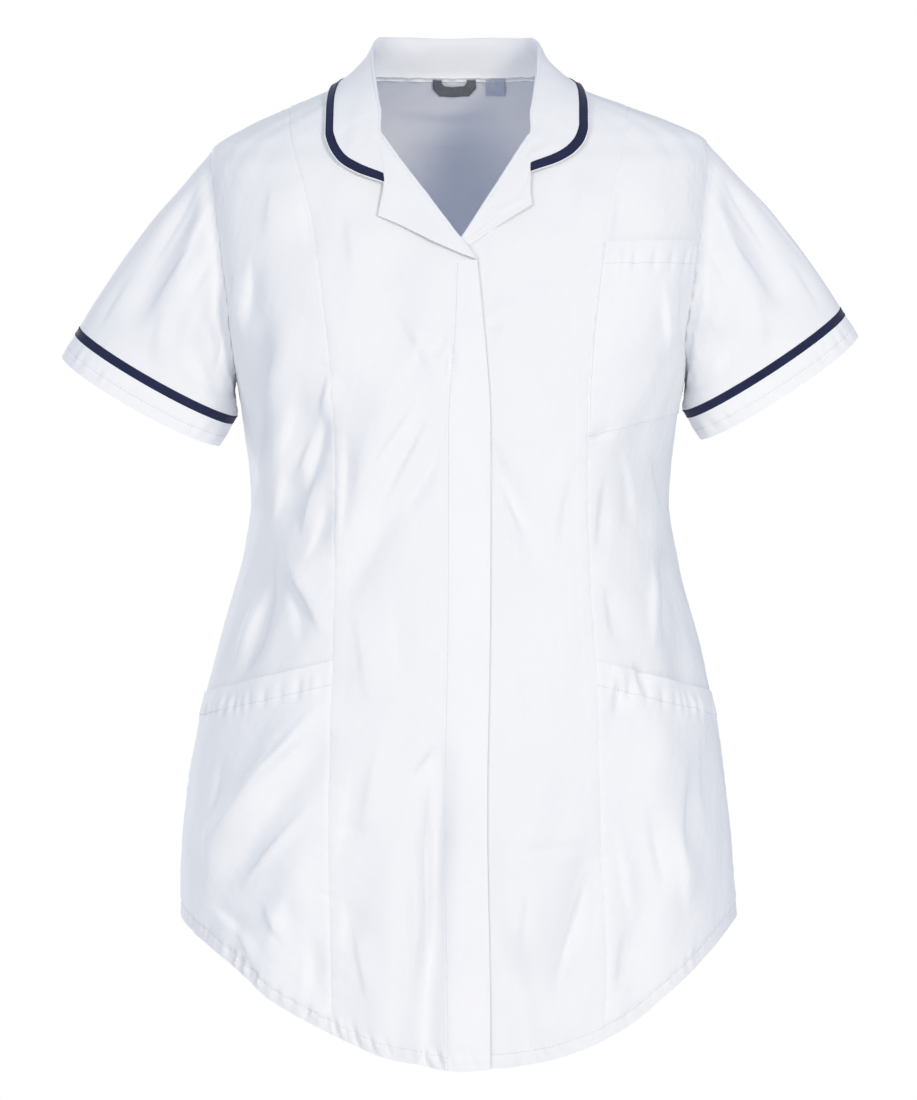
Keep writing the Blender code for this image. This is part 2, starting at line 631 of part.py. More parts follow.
def back():
    """The back below the yoke, and the yoke up to the shoulders and the neck."""
    left, right = side_edge(1, True), side_edge(-1, True)
    right = np.stack([right[:, 0] + 360, right[:, 1]], axis=1)
    last = len(left) - YOKE_STEPS
    share = np.linspace(0, 1, BACK_COLUMNS + 1)
    angle = left[:last, :1] + (right[:last, :1] - left[:last, :1]) * share
    height = left[:last, 1:] + (right[:last, 1:] - left[:last, 1:]) * share
    height = curve_hem(angle, height, 3)
    seam_rise = (YOKE_CENTRE - height[-1, BACK_COLUMNS // 2]) * np.sin(np.pi * share) ** 2
    rows_bent = ROWS["arm"] + ROWS["shoulder"] - YOKE_STEPS
    for step in range(rows_bent):
        height[last - 1 - step] += seam_rise * (1 - step / rows_bent)
    panel("back", angle, height, WHITE_CLOTH)

    seam = np.stack([angle[-1], height[-1]], axis=1)
    neck_cells = BACK_COLUMNS - 2 * SHOULDER_CELLS
    ridge = np.linspace(half_width(SHOULDER), half_width(0.0), SHOULDER_CELLS + 1)
    ridge_z = np.array([ridge_height(x) for x in ridge])
    ridge_z[0] = SHOULDER
    neck_turn = np.linspace(90, 270, neck_cells + 1)[1:-1]
    neck_z = neck_back_height(neck_turn)
    shoulder = np.full(SHOULDER_CELLS + 1, 90)
    top_angle = np.concatenate([shoulder, neck_turn, shoulder + 180])
    top_height = np.concatenate([ridge_z, neck_z, ridge_z[::-1]])
    # Rows crowd towards the neck, where the back curves in most, but not at the armholes.
    rise = np.linspace(0, 1, YOKE_STEPS + 1)[:, None]
    crowd = smooth(np.minimum(share, 1 - share) / CROWD_SHARE)
    rise = rise + (1 - (1 - rise) ** YOKE_CROWDING - rise) * crowd
    angle = seam[:, 0] + (top_angle - seam[:, 0]) * rise
    height = seam[:, 1] + (top_height - seam[:, 1]) * rise
    # The armholes bulge towards the back, and the columns near them follow.
    steps = np.linspace(0, 1, YOKE_STEPS + 1)[:, None]
    for edge, away in ((left, share), (right, 1 - share)):
        ring = edge[last - 1 :]
        bulge = ring - ring[0] - (ring[-1] - ring[0]) * steps
        follow = smooth(1 - away / FOLLOW_SHARE)
        angle += bulge[:, :1] * follow
        height += bulge[:, 1:] * follow
    panel("back_yoke", angle, height, WHITE_CLOTH)


def armhole_ring(side):
    """The armhole's points once round: down the front from the shoulder, and up the back."""
    front = armhole_steps(side, False)[::-1]
    behind = armhole_steps(side, True)
    return np.concatenate([front, behind[1:-1]])


def ring_turns(ring):
    """Each ring point's turn from the top: positive in front, to 180 at the armpit."""
    points = plain_body(ring[:, 0], ring[:, 1])
    step = np.linalg.norm(np.diff(np.concatenate([points, points[:1]]), axis=0), axis=1)
    length = np.concatenate([[0], np.cumsum(step)])
    half = int(np.argmin(ring[:, 1]))
    front = 180 * length[: half + 1] / length[half]
    behind = 180 + 180 * (length[half + 1 : -1] - length[half]) / (length[-1] - length[half])
    return np.concatenate([front, behind])


def sleeve_ring(side, turns, beyond, dip):
    """A ring round the arm, beyond the sleeve's lower edge by that many millimetres."""
    outer, inner = np.array(SLEEVE_OUTER), np.array(SLEEVE_INNER)
    centre, half = (outer + inner) / 2, (outer - inner) / 2
    along = np.array([half[1], -half[0]]) / np.linalg.norm(half)
    turn = np.radians(turns)
    flat = centre + along * (beyond + dip * np.sin(turn))[:, None] + np.cos(turn)[:, None] * half
    return np.stack([side * flat[:, 0], -CUFF_DEPTH * np.sin(turn), flat[:, 1]], axis=1)


def sleeve_surface(side):
    """The sleeve's middle layer, from the armhole ring to its lower edge, with its folds."""
    ring = armhole_ring(side)
    turns = ring_turns(ring)
    start = on_body(ring[:, 0], ring[:, 1])
    body_out = normals(folded_body, ring[:, 0], ring[:, 1])
    end = sleeve_ring(side, turns, 0.0, TAPE_DIP)
    turn = np.radians(turns)
    top, under = np.clip(np.cos(turn), 0, 1), np.clip(-np.cos(turn), 0, 1)
    ahead = np.sin(turn)
    leave = [side * (0.62 + 0.02 * top + 0.30 * under), -0.16 * ahead, -0.80 + 0.10 * top + 0.45 * under]
    leave = np.stack(leave, axis=1)
    arrive = np.stack([side * (0.50 - 0.42 * under), 0 * ahead, -0.86 - 0.1 * under], axis=1)
    length = np.linalg.norm(end - start, axis=1, keepdims=True)
    leave = unit(leave) * length * (1.0 + 0.35 * under[:, None])
    arrive = unit(arrive) * length
    start = start + unit(leave) * butt_gap(unit(leave), body_out)
    start = start + body_out * SLEEVE_PROUD * np.clip(-ahead, 0, 1)[:, None]
    t = np.linspace(0, 1, SLEEVE_ROWS + 1)[:, None, None]
    grid = (
        (2 * t**3 - 3 * t**2 + 1) * start
        + (t**3 - 2 * t**2 + t) * leave
        + (3 * t**2 - 2 * t**3) * end
        + (t**3 - t**2) * arrive
    )
    out = tube_normals(grid)
    around = np.where(turns > 180, turns - 360, turns)[None, :] * 1.15
    along = np.linspace(0, 1, SLEEVE_ROWS + 1)[:, None] * 150
    folds = [(a * 1.15, b * 150, c * 1.15, d * 150, w, s, e) for a, b, c, d, w, s, e in SLEEVE_FOLDS]
    clear = smooth(t[:, :, 0] / 0.2) * smooth((1 - t[:, :, 0]) / 0.15)
    grid = grid + out * (fold_rise(around + 0 * along, along + 0 * around, folds) * clear)[..., None]
    return grid, body_out, turns


def tube_normals(grid):
    """Outward normals of a tube's grid, whose columns run round it."""
    round_it = np.roll(grid, -1, axis=1) - np.roll(grid, 1, axis=1)
    down_it = np.gradient(grid, axis=0)
    found = np.cross(round_it, down_it)
    found /= np.linalg.norm(found, axis=-1, keepdims=True)
    away = grid - grid.mean(axis=1, keepdims=True)
    return found if (found * away).sum() > 0 else -found


def sleeve(side, word):
    grid, body_out, turns = sleeve_surface(side)
    out = tube_normals(grid)
    out[0] = unit(body_out + out[0])
    under = np.clip(-np.cos(np.radians(turns)), 0, 1)[:, None]
    grid[-1] += toward(grid[-1], grid[-2], SEAM_GAP * (0.5 + 1.5 * under))
    half = CLOTH / 2
    solid("sleeve_" + word, grid + out * half, grid - out * half, WHITE_CLOTH, closed=True)

    tape = [sleeve_ring(side, turns, b, TAPE_DIP) for b in (SEAM_GAP / 2, TAPE_WIDTH - SEAM_GAP / 2)]
    tape = np.stack(tape)
    out = tube_normals(tape)
    solid("sleeve_tape_" + word, tape + out * half, tape - out * half, NAVY_TAPE, closed=True)

    edges = np.linspace(TAPE_WIDTH + SEAM_GAP / 2, TAPE_WIDTH + CUFF_WIDTH, 3)
    dips = np.linspace(TAPE_DIP, HEM_DIP, 3)
    cuff = np.stack([sleeve_ring(side, turns, b, d) for b, d in zip(edges, dips)])
    out = tube_normals(cuff)
    solid("cuff_" + word, cuff + out * half, cuff - out * half, WHITE_CLOTH, closed=True)


def bezier(a, b, c, d, t):
    t = t[:, None, None]
    return (1 - t) ** 3 * a + 3 * (1 - t) ** 2 * t * b + 3 * (1 - t) * t**2 * c + t**3 * d


def outside_of_body(points):
    """Roughly how far points lie outside the body's middle layer, and the way out."""

    def reach(at):
        x, y, z = at[..., 0], at[..., 1], at[..., 2]
        depth = np.where(y < 0, front_depth(z), back_depth(z))
        power = squareness(z)
        return (np.abs(x / half_width(z)) ** power + np.abs(y / depth) ** power) ** (1 / power) - 1

    half = 0.25
    slope = [(reach(points + half * axis) - reach(points - half * axis)) / (2 * half) for axis in np.eye(3)]
    slope = np.stack(slope, axis=-1)
    steep = np.linalg.norm(slope, axis=-1)
    return reach(points) / steep, slope / steep[..., None]


def moved_to(points, wanted):
    """Points moved straight out or in until they lie that far outside the body."""
    for _ in range(4):
        away, out = outside_of_body(points)
        points = points + out * (wanted - away)[..., None]
    return points


def rolled_strip(seam, seam_out, crest, edge, roll):
    """A strip of cloth that rises from a seam, rolls over its crest and falls to its edge."""
    along = unit(np.gradient(crest, axis=0))
    edge_out = outside_of_body(edge)[1]
    outward = edge - seam
    outward = unit(outward - (outward * along).sum(1, keepdims=True) * along)
    up = np.cross(along, outward)
    up *= np.sign((up * edge_out).sum(1, keepdims=True))
    heart = crest - up * roll
    heart = moved_to(heart, np.maximum(outside_of_body(heart)[0], LOWEST_HEART + roll[:, 0]))
    inside, outside = heart - outward * roll, heart + outward * roll

    inward = unit(np.cross(np.gradient(seam, axis=0), seam_out))
    inward *= -np.sign((inward * (edge - seam)).sum(1, keepdims=True))
    start = seam + inward * butt_gap(unit(inside - seam), seam_out)
    rise = np.linalg.norm(inside - start, axis=1, keepdims=True)
    t = np.linspace(0, 1, STAND_ROWS + 1)[:-1]
    stand = bezier(start, start + up * rise * 0.3, inside - up * rise * 0.3, inside, t)

    turns = np.radians(np.array([180, 135, 90, 45, 0.0]))[:, None, None]
    turn = heart + np.cos(turns) * outward * roll + np.sin(turns) * up * roll

    reach = np.linalg.norm(edge - outside, axis=1, keepdims=True)
    landing = edge - outside
    landing = unit(landing - (landing * edge_out).sum(1, keepdims=True) * edge_out)
    t = np.linspace(0, 1, FALL_ROWS + 1)[1:]
    first = outside + outward * reach * 0.16 + edge_out * reach * 0.10 - up * reach * 0.12
    second = edge - landing * reach * 0.38 + edge_out * reach * 0.045
    fall = bezier(outside, first, second, edge, t)
    away = outside_of_body(fall)[0]
    fall = moved_to(fall, FALL_LIFT + FALL_EASE * np.logaddexp(0, (away - FALL_LIFT) / FALL_EASE))
    return np.concatenate([stand, turn, fall])


def neck_path():
    """The neck's edge on the body: round the back from the middle, then down the front."""
    turn = np.linspace(180, 90, 200)
    behind = np.stack([turn, neck_back_height(turn)], axis=1)
    height = GORGE * np.linspace(0, 1, 400)[1:] ** 2
    distance = curve(column(NECK_EDGE, 0), column(NECK_EDGE, 1))
    ahead = np.stack([angle_at(distance(height), height), height], axis=1)
    return np.concatenate([behind, ahead])


def neck_half(side, lapel_table):
    """Seam, its normals, crest, edge and roll from centre back to a lapel's end, on one side."""
    shares = [share for share, _ in COLLAR_CELLS]
    cells = [count for _, count in COLLAR_CELLS]
    spans = zip(shares, shares[1:], cells)
    places = np.concatenate([np.linspace(p, q, n, endpoint=False) for p, q, n in spans] + [[1.0]])
    path = neck_path()
    seam = spread_by_share(path, places)
    read = [curve(column(COLLAR, 0), column(COLLAR, i))(places) for i in range(1, 7)]
    crest = np.stack([side * read[0], read[1], read[2]], axis=1)
    drop = side * COLLAR_DROP * smooth((places - 0.6) / 0.35)
    edge = np.stack([side * read[3], read[4], read[5] + drop], axis=1)

    gorge_x = plain_body(side * seam[-1, 0], seam[-1, 1])[0]
    table = np.array([(gorge_x, seam[-1, 1], edge[-1, 0], edge[-1, 2]), *lapel_table])
    steps = np.linspace(0, 1, LAPEL_CELLS * (len(table) - 1) + 1)[1:]
    stations = np.linspace(0, 1, len(table))
    fold_x, fold_z, edge_x, edge_z = [np.interp(steps, stations, table[:, i]) for i in range(4)]
    own = np.stack([angle_at(fold_x, fold_z), fold_z], axis=1)
    seam = np.concatenate([seam * (side, 1), own])
    lapel_edge = plain_body(angle_at(edge_x, edge_z), edge_z)
    edge = moved_to(np.concatenate([edge, lapel_edge]), EDGE_LIFT + np.zeros(len(seam)))
    sunk = np.zeros(len(seam))
    if side > 0:
        sunk[len(places) :] = UNDERLAP_DROP * smooth((steps - 0.6) / 0.4)
        edge = moved_to(edge, EDGE_LIFT - 0.5 * sunk)
    seam_out = normals(plain_body, seam[:, 0], seam[:, 1])
    seam = on_body(seam[:, 0], seam[:, 1], -sunk)
    narrow = np.linalg.norm(edge - seam, axis=1, keepdims=True)
    roll = np.minimum(ROLL, narrow * NARROW_ROLL)
    heart = np.maximum(roll + 0.2, LOWEST_HEART)
    folded = seam + seam_out * (heart + roll) - unit(edge - seam) * 0.4
    share = np.concatenate([smooth((places - 0.85) / 0.15), np.ones(len(own))])[:, None]
    crest = np.concatenate([crest, folded[len(places) :]])
    crest = crest + (folded - crest) * share
    return seam, seam_out, crest, edge, roll


def spread_by_share(path, shares):
    step = np.linalg.norm(np.diff(plain_body(path[:, 0], path[:, 1]), axis=0), axis=1)
    length = np.concatenate([[0], np.cumsum(step)])
    marks = shares * length[-1]
    return np.stack([np.interp(marks, length, path[:, 0]), np.interp(marks, length, path[:, 1])], 1)


def strip_normals(grid):
    return unit(np.cross(np.gradient(grid, axis=1), np.gradient(grid, axis=0)))


def strip_solid(name, grid, out, columns, finish, wall=CLOTH, lift=0.0):
    part, out = grid[:, columns], out[:, columns]
    part = part + inset(part, out, (0.0, 0.0, GORGE_GAP / 2, GORGE_GAP / 2))
    solid(name, part + out * (lift + wall / 2), part + out * (lift - wall / 2), finish)


def neckline():
    """The collar and both lapels, as one rolled strip that is cut where they join."""
    right, left = neck_half(-1, UPPER_LAPEL), neck_half(1, LOWER_LAPEL)
    joined = [np.concatenate([r[::-1], l[1:]]) for r, l in zip(right, left)]
    grid = rolled_strip(*joined)
    grid = np.concatenate([grid[:-1], tape_rows(grid)])
    out = strip_normals(grid)
    out *= np.sign(out[-1, len(right[0]) - 1, 2])
    first = LAPEL_CELLS * len(UPPER_LAPEL)
    last = grid.shape[1] - 1 - LAPEL_CELLS * len(LOWER_LAPEL)
    strip_solid("lapel_right", grid, out, slice(0, first + 1), WHITE_CLOTH)
    strip_solid("collar", grid, out, slice(first, last + 1), WHITE_CLOTH)
    strip_solid("lapel_left", grid, out, slice(last, None), WHITE_CLOTH)
    above = CLOTH / 2 + LAYER_GAP + TRIM / 2
    strip_solid("collar_tape", grid[-3:], out[-3:], slice(first, last + 1), NAVY_TAPE, TRIM, above)


def tape_rows(grid):
    """The strip's last rows, so that one of them lies where the edge tape begins."""
    last, before = grid[-1], grid[-2]
    reach = np.linalg.norm(last - before, axis=1, keepdims=True)
    start = last - (last - before) * np.minimum(COLLAR_TAPE_WIDTH / reach, 0.8)
    return np.stack([start, (start + last) / 2, last])


def flat_on_yoke(x, drop, lift):
    """Points inside the back of the neck, at a distance from the middle and below the neck seam."""
    height = NECK_BACK - 1.2 - drop
    share = np.clip(np.abs(x) / half_width(height), 0, 1)
    angle = 180 - np.sign(x) * np.degrees(np.arctan2(share, np.sqrt(1 - share**2)))
    return on_body(angle, height, lift)


def hanger_loop():
    """A plain tape loop sewn into the neck seam at centre back."""
    half = LOOP_WIDTH / 2 - LOOP_BAND / 2
    depth = LOOP_HEIGHT - LOOP_BAND / 2
    corner = np.radians(np.linspace(0, 90, 5))
    down = [(half, d) for d in (0.0, (depth - LOOP_CORNER) / 2)]
    turned = LOOP_CORNER * np.stack([np.cos(corner), np.sin(corner)], axis=1)
    bend = [(half - LOOP_CORNER + x, depth - LOOP_CORNER + d) for x, d in turned]
    half_path = down + bend + [(half / 3, depth)]
    path = np.array(half_path + [(-x, d) for x, d in half_path[::-1]])
    along = unit(np.gradient(path, axis=0))
    across = np.stack([-along[:, 1], along[:, 0]], axis=1) * LOOP_BAND / 2
    lines = np.stack([path - across, path + across])
    lift = -(CLOTH / 2 + LABEL_GAP + TRIM / 2)
    near = flat_on_yoke(lines[..., 0], lines[..., 1], lift + TRIM / 2)
    far = flat_on_yoke(lines[..., 0], lines[..., 1], lift - TRIM / 2)
    solid("hanger_loop", near, far, GREY_TAPE)


def size_label():
    x, drop = np.meshgrid(np.linspace(LABEL_LEFT, LABEL_RIGHT, 4), np.linspace(0, LABEL_HEIGHT, 3))
    lift = -(CLOTH / 2 + LABEL_GAP + TRIM / 2)
    near = flat_on_yoke(x, drop, lift + TRIM / 2)
    far = flat_on_yoke(x, drop, lift - TRIM / 2)
    solid("neck_label", near, far, LABEL_CLOTH)


clear_scene()
WHITE_CLOTH = material("white_polycotton", WHITE)
WHITE_TRIM = material("white_polycotton_trim", WHITE)
NAVY_TAPE = material("navy_braid", NAVY, 0.8)
GREY_TAPE = material("grey_tape", GREY, 0.8)
LABEL_CLOTH = material("woven_label", PALE_GREY, 0.6)

upper_front()
lower_front()
side_grids = {-1: side_front(-1, "side_front_right"), 1: side_front(1, "side_front_left")}
pockets(side_grids)
back()
for side_sign, side_word in ((-1, "right"), (1, "left")):
    sleeve(side_sign, side_word)
neckline()
hanger_loop()
size_label()
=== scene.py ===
import math

import bpy
import numpy as np
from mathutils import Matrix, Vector


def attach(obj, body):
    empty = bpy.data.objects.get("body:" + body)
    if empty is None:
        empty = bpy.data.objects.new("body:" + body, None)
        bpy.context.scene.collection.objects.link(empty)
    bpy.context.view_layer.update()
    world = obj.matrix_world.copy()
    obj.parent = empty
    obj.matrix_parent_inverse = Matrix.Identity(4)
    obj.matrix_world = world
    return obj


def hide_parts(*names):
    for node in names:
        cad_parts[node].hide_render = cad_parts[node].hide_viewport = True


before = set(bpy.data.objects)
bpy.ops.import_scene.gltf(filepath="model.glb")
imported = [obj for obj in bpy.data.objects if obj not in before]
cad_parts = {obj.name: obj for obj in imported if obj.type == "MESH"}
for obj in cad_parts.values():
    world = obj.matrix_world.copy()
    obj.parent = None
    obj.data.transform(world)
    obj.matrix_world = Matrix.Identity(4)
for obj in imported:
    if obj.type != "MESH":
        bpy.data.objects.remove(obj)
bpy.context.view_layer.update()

# Sizes are in millimetres, and in metres for the studio and the camera only.
# x runs to the wearer's left, y to the back, z up from between the neck ends of the shoulder seams.
clothThickness = 0.5
millimetre = 0.001

bodyForm = {
    # level sections: height, half width, depth in front, depth behind, squareness (2 is an ellipse)
    "sections": [
        (30, 12, 12, 24, 2.0), (20, 32, 22, 42, 2.0), (0, 75, 42, 66, 2.0), (-28, 145, 61, 88, 2.05),
        (-42.5, 180, 68, 95, 2.08), (-60, 208, 76, 102, 2.15), (-80, 211, 84, 108, 2.6),
        (-130, 208, 101, 116, 3.0), (-190, 200, 122, 117, 3.0), (-250, 188, 134, 112, 2.7),
        (-300, 180, 136, 104, 2.5), (-360, 175, 138, 97, 2.35), (-400, 181, 141, 97, 2.3),
        (-474, 200.5, 149, 104, 2.25), (-550, 217.5, 155, 114, 2.2), (-625, 227.6, 156, 120, 2.2),
        (-702, 232.5, 153, 124, 2.2), (-840, 236, 147, 127, 2.2),
    ],
}

bigFolds = {
    # from x, height, to x, height, half width, rise near the start and near the end
    "front": [
        (-13, -520, -16, -680, 12, -3.0, -8.0), (-15, -560, -36, -900, 13, -8.0, -12.0),
        (-48, -600, -66, -920, 20, 4.0, 6.0), (-14, -265, -98, -450, 13, -3.0, -6.0),
        (-42, -245, -108, -420, 17, 3.0, 4.0), (-102, -500, -215, -660, 14, 4.0, 6.0),
        (-98, -535, -205, -690, 13, -4.0, -6.0), (-112, -620, -170, -790, 17, 4.0, 4.0),
        (-164, -190, -182, -370, 13, -5.0, -4.0), (-140, -190, -150, -380, 14, 4.0, 4.0),
        (-116, -260, -142, -390, 12, -4.0, -5.0), (-152, -370, -190, -540, 12, -4.0, -6.0),
        (-130, -380, -110, -500, 17, 4.0, 2.0), (173, -370, 189, -540, 12, -4.0, -6.0),
        (152, -270, 140, -410, 18, -4.0, -3.0), (24, -295, 74, -440, 14, -4.0, -3.0),
        (62, -560, 54, -760, 20, 3.0, 4.0), (112, -620, 78, -790, 13, -5.0, -6.0),
        (42, -700, 66, -900, 14, -4.0, -6.0), (155, -520, 190, -700, 20, 4.0, 4.0),
        (137, -590, 154, -800, 17, -4.0, -4.0), (-62, -135, -50, -255, 22, -4.0, -3.0),
        (60, -140, 72, -260, 26, -3.5, -2.0),
    ],
    "back": [
        (-30, -400, -54, -900, 19, -4.0, -11.0), (42, -410, 66, -900, 19, -4.0, -11.0),
        (4, -470, 8, -900, 23, 2.0, 7.0), (-105, -460, -146, -860, 19, -3.0, -9.0),
        (116, -450, 156, -860, 19, -3.0, -9.0), (-176, -235, -40, -370, 15, -5.0, -4.0),
        (178, -230, 48, -375, 15, -5.0, -4.0), (-160, -315, -25, -415, 14, 4.0, 5.0),
        (160, -315, 30, -420, 14, 4.0, 5.0), (-78, -100, -94, -270, 25, -4.0, -3.0),
        (80, -100, 96, -270, 25, -4.0, -3.0),
    ],
    "taper": 0.3,  # share of its length over which each end of a fold fades
    "strength": 1.25,  # times every rise above
    "behindShare": 1.0,  # how much of that the back has
    "lean": 1.0,  # how much narrower one side of a fold is, and how much wider the other
    "clearOfSide": 0.3,  # share of the depth over which folds fade towards the side seams
}

creases = {
    # smaller ones, with the same columns
    "front": [
        # drawn in at the waist, beside the seam on the wearer's right
        (-148, -232, -160, -296, 5, 1.6, 1.0), (-128, -258, -146, -334, 5, -1.8, -1.4),
        (-108, -276, -130, -360, 5, -2.2, -1.6), (-168, -262, -177, -334, 6, -1.5, -1.8),
        (-104, -246, -115, -302, 4, 1.4, 1.0), (-136, -318, -154, -384, 5, -1.6, -1.2),
        (-116, -334, -130, -392, 5, 1.5, 1.2), (-120, -300, -140, -350, 4, 1.3, 1.0),
        (-158, -300, -172, -372, 5, 1.2, 1.2), (-106, -352, -124, -416, 5, -1.3, -1.0),
        # a long raised triangle above the wearer's right pocket
        (-146, -396, -107, -470, 5, 2.4, 1.6), (-148, -398, -184, -506, 6, -2.0, -2.6),
        (-139, -412, -124, -486, 8, -1.4, -1.0), (-166, -420, -190, -500, 5, 1.4, 1.4),
        # across the wearer's right pocket
        (-104, -514, -208, -646, 6, 2.4, 2.0), (-108, -534, -196, -626, 5, -2.0, -1.6),
        (-112, -596, -182, -682, 6, 1.5, 1.6), (-116, -612, -176, -676, 4, -1.2, -1.2),
        (-204, -686, -168, -716, 5, -1.5, -1.3), (-130, -672, -150, -730, 6, -1.6, -1.2),
        (-158, -680, -138, -722, 5, 1.4, 1.0), (-118, -706, -122, -768, 6, -1.6, -1.6),
        (-190, -560, -206, -640, 6, -1.0, -1.0), (-146, -556, -176, -600, 5, 1.2, 1.0),
        (-200, -596, -206, -680, 6, 0.6, 0.5), (-184, -700, -160, -744, 4, 1.2, 0.8),
        # centre front, wearer's right
        (-16, -278, -70, -378, 6, 2.0, 1.6), (-22, -262, -84, -352, 5, -1.4, -1.2),
        (-12, -310, -50, -374, 5, -1.6, -1.0), (-92, -292, -94, -406, 5, -1.2, -1.0),
        (-52, -196, -14, -266, 7, 0.9, 1.0), (-14, -206, -60, -288, 7, -1.0, -0.8),
        (-12, -552, -42, -592, 6, -1.6, -1.0), (-20, -576, -28, -730, 5, -1.8, -2.6),
        (-34, -620, -40, -770, 6, 2.0, 2.4), (-88, -676, -92, -724, 7, -1.4, -1.0),
        (-86, -690, -70, -772, 6, 0.9, 1.0), (-104, -624, -62, -628, 4, -0.8, -0.5),
        (-60, -540, -78, -640, 9, 0.9, 0.8), (-80, -560, -98, -668, 7, -0.9, -0.8),
        (-54, -430, -46, -520, 9, -0.9, -0.6), (-84, -440, -70, -530, 8, 0.9, 0.6),
        # short pulls beside the front band
        (-8, -226, -10, -268, 3, -1.6, -1.2), (-9, -224, -30, -242, 4, -1.1, -0.5),
        (20, -212, 34, -222, 4, -1.0, -0.5), (22, -208, 50, -196, 5, 0.8, 0.4),
        # centre front, wearer's left
        (25, -322, 56, -392, 5, -1.5, -1.1), (33, -346, 50, -412, 5, 1.2, 0.8),
        (26, -300, 44, -340, 5, 1.2, 0.6), (30, -644, 112, -640, 4, -0.8, -0.9),
        (112, -652, 84, -734, 6, -1.8, -1.4), (102, -690, 80, -764, 6, 1.5, 1.2),
        (32, -686, 36, -764, 7, -1.2, -1.0), (60, -650, 50, -740, 8, 0.9, 1.0),
        (44, -460, 66, -560, 10, -0.8, -0.6), (86, -430, 74, -540, 9, 0.8, 0.7),
        (92, -330, 78, -420, 8, -0.9, -0.7), (60, -238, 86, -300, 9, 0.8, 0.6),
        # side front and pockets, wearer's left
        (171, -392, 168, -480, 4, -2.2, -2.0), (160, -400, 158, -486, 5, 1.4, 1.2),
        (142, -486, 152, -520, 4, -1.8, -1.6), (124, -486, 138, -524, 4, 1.5, 1.2),
        (130, -494, 128, -538, 5, -1.9, -1.2), (154, -600, 170, -682, 6, -1.5, -1.3),
        (192, -566, 184, -666, 7, -1.4, -1.5), (130, -616, 146, -706, 6, 1.3, 1.3),
        (176, -620, 190, -704, 6, 1.4, 1.4), (120, -334, 112, -406, 6, -1.4, -1.1),
        (136, -312, 150, -384, 7, 1.2, 1.0), (104, -312, 130, -298, 4, -1.2, -1.2),
        (160, -312, 172, -372, 6, -1.6, -1.4), (200, -540, 206, -632, 6, -0.7, -0.7),
        (138, -700, 128, -764, 7, -1.1, -1.1), (118, -420, 128, -478, 6, -1.1, -1.0),
        # under the shoulders
        (-170, -148, -176, -222, 6, -1.4, -1.7), (-184, -158, -186, -236, 5, 1.3, 1.5),
        (-132, -92, -118, -164, 9, -1.0, -0.9), (-152, -86, -158, -150, 9, 0.9, 0.9),
        (182, -164, 184, -262, 5, -1.4, -1.6), (168, -176, 172, -250, 6, 1.1, 1.2),
        (136, -92, 124, -168, 9, -0.9, -0.9), (96, -84, 108, -150, 9, 0.8, 0.8),
        (-92, -112, -84, -182, 9, 1.0, 0.8), (90, -176, 96, -240, 9, -0.8, -0.8),
    ],
    "back": [
        (-160, -240, -92, -322, 6, -1.8, -1.2), (166, -246, 88, -330, 6, -1.9, -1.3),
        (-150, -276, -62, -352, 5, 1.6, 1.1), (150, -282, 70, -360, 6, 1.5, 1.2),
        (-120, -352, 20, -376, 5, -1.7, -1.2), (100, -340, -40, -356, 5, 1.3, 1.0),
        (-60, -384, 70, -392, 6, -1.5, -1.3), (-20, -326, 96, -344, 5, -1.2, -1.2),
        (-100, -404, -30, -412, 5, 1.3, 1.0), (40, -408, 130, -398, 5, 1.2, 1.2),
        (-42, -470, -48, -620, 7, -1.4, -1.8), (52, -460, 62, -640, 7, -1.5, -1.9),
        (-14, -500, -20, -700, 8, 1.2, 1.6), (24, -520, 30, -720, 8, 1.2, 1.6),
        (-92, -480, -112, -650, 8, -1.3, -1.8), (98, -470, 118, -660, 8, -1.3, -1.8),
        (-70, -600, -84, -770, 7, 1.4, 2.0), (84, -610, 96, -770, 7, 1.4, 2.0),
        (-140, -560, -160, -730, 8, 1.2, 1.7), (140, -540, 164, -720, 8, 1.2, 1.7),
        (-176, -470, -196, -640, 7, -1.3, -1.7), (176, -480, 200, -650, 7, -1.3, -1.7),
        (-120, -120, -112, -220, 9, 1.0, 0.9), (116, -118, 120, -214, 9, 1.0, 0.9),
        (-28, -110, -34, -210, 10, -0.9, -0.8), (30, -116, 28, -216, 10, -0.8, -0.8),
        (-58, -22, 30, -27, 4, -1.1, -1.0), (-34, -34, 52, -31, 5, 1.2, 1.1),
        (-50, -48, 46, -51, 4, -1.0, -1.0), (-50, -69, 40, -72, 2.5, 0.8, 0.8),
        (-30, -78, 50, -76, 2.5, -0.7, -0.7), (-8, -60, 36, -66, 3, -0.7, -0.7),
        (-176, -150, -182, -240, 6, -1.3, -1.5), (180, -150, 184, -236, 6, -1.3, -1.5),
        (-150, -700, -130, -760, 7, -1.2, -1.2), (126, -700, 140, -764, 7, -1.2, -1.2),
        (0, -640, -6, -770, 7, -1.3, -1.6),
    ],
    "taper": 0.45,
    "strength": 2.8,
    "behindShare": 0.6,
    "lean": 0.55,
    "clearOfSide": 0.12,
    "girth": 190.0,  # mean distance from the middle, which turns angles into lengths
    "grain": [(0.28, 46.0, 0.6), (0.07, 13.0, 0.8)],  # rise, spacing, and height's share in it
}

